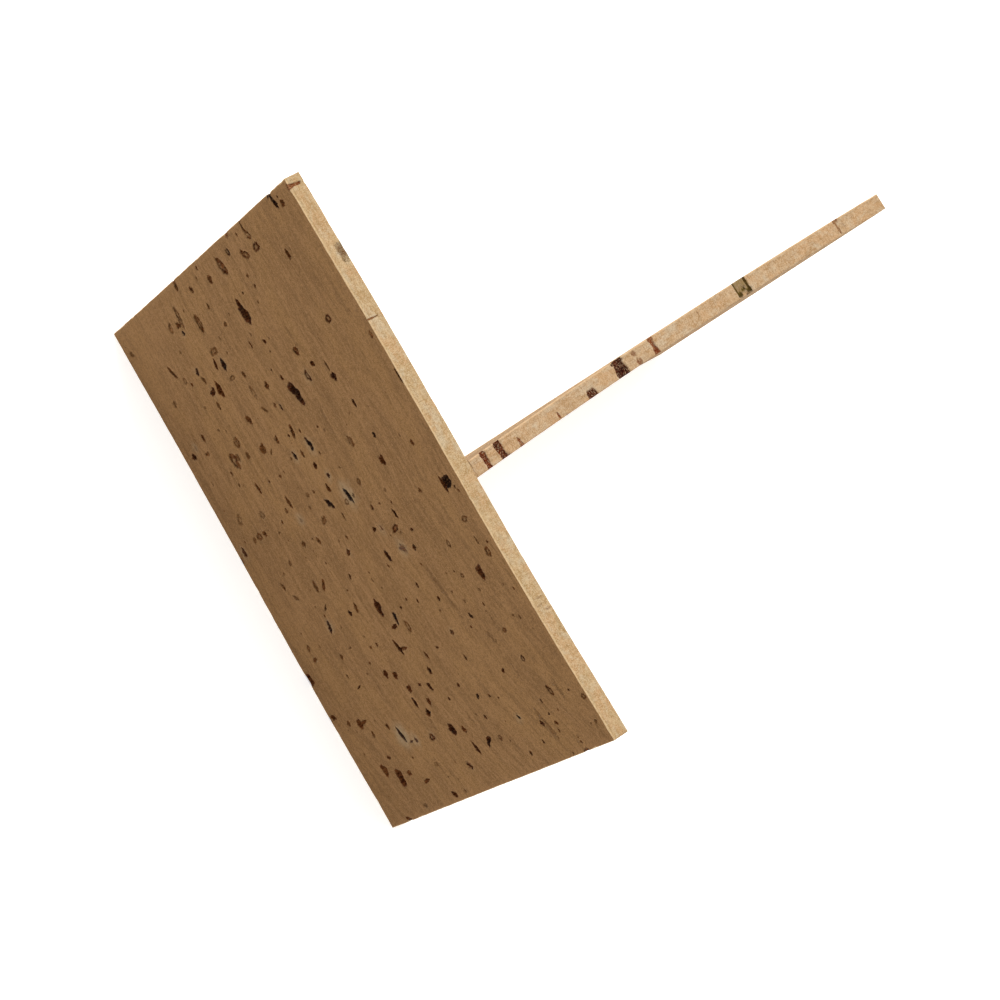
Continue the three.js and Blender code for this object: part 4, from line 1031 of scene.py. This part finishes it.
# Here too the corner setting lightens the left face round its lower near corner: painted light from the floor's bounce,
# with some wear.
web = make_sheet("handle_web_cork", LENGTH, WIDTH, THICK, left, right, WEB_CUTS, WEB_CHIPS, place_web, 43,
                 (mat_web, mat_web_cut), bend=-0.0016, corner_wear_and_floor_light=0.8)


# ---------------------------------------------------------------- the glue line
def make_glue():
    """The cured film, with the little beads that it squeezes out along both sides of the root."""
    noise = Noise(77)
    vs = np.linspace(0.08, WIDTH - 0.08, 190)
    ring = 14
    pts, suv = [], []
    for k, v in enumerate(vs):
        back = FACE_Y + THICK + plate_bow(np.array([ROOT_U]), np.array([v]))[0]
        for j in range(ring):
            a = 2 * math.pi * j / ring
            c, s = math.cos(a), math.sin(a)
            bead = 0.10 + 0.10 * noise(v / 1.7, 3.0 if c > 0 else 9.0) + 0.05 * noise(v / 0.6, 5.0 if c > 0 else 15.0)
            x = (THICK / 2 - 0.12 + max(bead, -0.05)) * math.copysign(abs(c) ** 0.35, c)
            lift = JOINT_GAP - 0.15 + x * math.sin(LEAN) + THICK / 2 * math.sin(LEAN)
            swell = 0.05 * smooth(1.2, 1.5, abs(x)) * (1 + noise(v / 0.9, 21.0))
            y = back + (lift + swell - 0.02 if s > 0 else 0.02 - swell * 0.0) if abs(s) > 0.05 else back + lift / 2
            pts.append((WEB_OFFSET + x + float(web_bow(np.array([0.0]), np.array([v]))[0]), y, TOP_Z - v))
            suv.append((x, v, s))
    n = len(vs)
    faces = []
    for k in range(n - 1):
        for j in range(ring):
            a, b = k * ring + j, k * ring + (j + 1) % ring
            faces.append((a, b, b + ring, a + ring))
    faces.append(tuple(range(ring))[::-1])
    faces.append(tuple((n - 1) * ring + j for j in range(ring)))
    mesh = bpy.data.meshes.new("glue_line")
    mesh.from_pydata([(x * MM, y * MM, z * MM) for x, y, z in pts], [], faces)
    mesh.update()
    mesh.calc_loop_triangles()
    vol = sum(Vector(mesh.vertices[t.vertices[0]].co).dot(Vector(mesh.vertices[t.vertices[1]].co).cross(mesh.vertices[t.vertices[2]].co)) for t in mesh.loop_triangles)
    if vol < 0:
        mesh.flip_normals()
    at = mesh.attributes.new("suv", "FLOAT_VECTOR", "POINT")
    at.data.foreach_set("vector", np.array(suv, np.float32).ravel())
    mesh.materials.append(glue_material())
    mesh.shade_smooth()
    mesh.set_sharp_from_angle(angle=math.radians(50))
    ob = bpy.data.objects.new("glue_line", mesh)
    bpy.context.scene.collection.objects.link(ob)
    return ob


glue = make_glue()

for piece, node, slot in ((sole, "sole_plate", "cork_plate"), (web, "handle_web", "cork_web"), (glue, "glue_film", "cured_glue")):
    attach(piece, "root")
    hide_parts(node)
    print(piece.name, "triangles", sum(len(p.vertices) - 2 for p in piece.data.polygons))

# ---------------------------------------------------------------- floor
def make_floor():
    m = Nodes("floor_paper")
    co = m.add("ShaderNodeTexCoord").outputs["Object"]
    tooth = m.noise(co, 900.0, 3.0, 0.6)
    m.link(m.mix(m.grey(tooth, 0.35, 0.65, 0.0, 1.0), (0.86, 0.86, 0.855), (0.88, 0.88, 0.875)), m.bsdf.inputs["Base Color"])
    m.bsdf.inputs["Roughness"].default_value = 0.9
    m.bsdf.inputs["Specular IOR Level"].default_value = 0.2
    m.bsdf.inputs["Emission Color"].default_value = (1.0, 0.995, 0.985, 1)
    m.bsdf.inputs["Emission Strength"].default_value = 0.48      # a lit table, so that shadows stay faint
    n, r = 96, 4.0
    ring = [(r * math.cos(2 * math.pi * k / n), r * math.sin(2 * math.pi * k / n), 0) for k in range(n)]
    mesh = bpy.data.meshes.new("floor")
    mesh.from_pydata([(0, 0, 0)] + ring, [], [(0, 1 + k, 1 + (k + 1) % n) for k in range(n)])
    mesh.materials.append(m.mat)
    ob = bpy.data.objects.new("floor", mesh)
    ob.location.z = -0.00002
    bpy.context.scene.collection.objects.link(ob)


make_floor()


# ---------------------------------------------------------------- light
def area(name, at, aim, size, watts, colour):
    light = bpy.data.lights.new(name, "AREA")
    light.shape = "RECTANGLE"
    light.size, light.size_y = size
    light.energy = watts
    light.color = colour
    ob = bpy.data.objects.new(name, light)
    ob.location = at
    ob.rotation_euler = (Vector(aim) - Vector(at)).to_track_quat("-Z", "Y").to_euler()
    bpy.context.scene.collection.objects.link(ob)


area("overhead_softbox", (-0.10, 0.04, 1.2), (0, 0, 0.03), (0.7, 0.7), 12.5, (1.0, 0.99, 0.965))
area("side_softbox", (-0.85, 0.55, 0.42), (0, 0, 0.05), (0.6, 0.5), 6.5, (1.0, 0.99, 0.965))

world = bpy.data.worlds.new("studio")
world.use_nodes = True
bg = world.node_tree.nodes["Background"]
sky = world.node_tree                      # white round the horizon, as a studio's curved backdrop is, and dimmer above
way = sky.nodes.new("ShaderNodeTexCoord")
part = sky.nodes.new("ShaderNodeSeparateXYZ")
fade = sky.nodes.new("ShaderNodeValToRGB")
sky.links.new(way.outputs["Generated"], part.inputs[0])
sky.links.new(part.outputs[2], fade.inputs[0])
sky.links.new(fade.outputs[0], bg.inputs["Color"])
for stop, (at, colour) in enumerate(((0.13, (1.0, 1.0, 0.995, 1)), (0.36, (0.34, 0.335, 0.330, 1)))):
    fade.color_ramp.elements[stop].position = at
    fade.color_ramp.elements[stop].color = colour
bg.inputs["Strength"].default_value = 1.0
bpy.context.scene.world = world
bpy.context.scene.view_settings.view_transform = "Standard"
bpy.context.scene.view_settings.look = "None"

# ---------------------------------------------------------------- camera
cam = bpy.data.cameras.new("camera")
cam.sensor_fit = "HORIZONTAL"
cam.sensor_width = 36.0
cam.lens = 102.033
cam.clip_start, cam.clip_end = 0.01, 20.0
cam_ob = bpy.data.objects.new("camera", cam)
right_, up_, fwd = Vector((0.507242, 0.720549, 0.472773)), Vector((-0.861748, 0.430336, 0.268703)), Vector((0.009838, 0.543709, -0.839216))
where = Vector((4.942, -286.21 + (FACE_Y + 51.7135), 444.496)) * MM
cam_ob.matrix_world = Matrix((
    (right_.x, up_.x, -fwd.x, where.x),
    (right_.y, up_.y, -fwd.y, where.y),
    (right_.z, up_.z, -fwd.z, where.z),
    (0, 0, 0, 1),
))
bpy.context.scene.collection.objects.link(cam_ob)
bpy.context.scene.camera = cam_ob
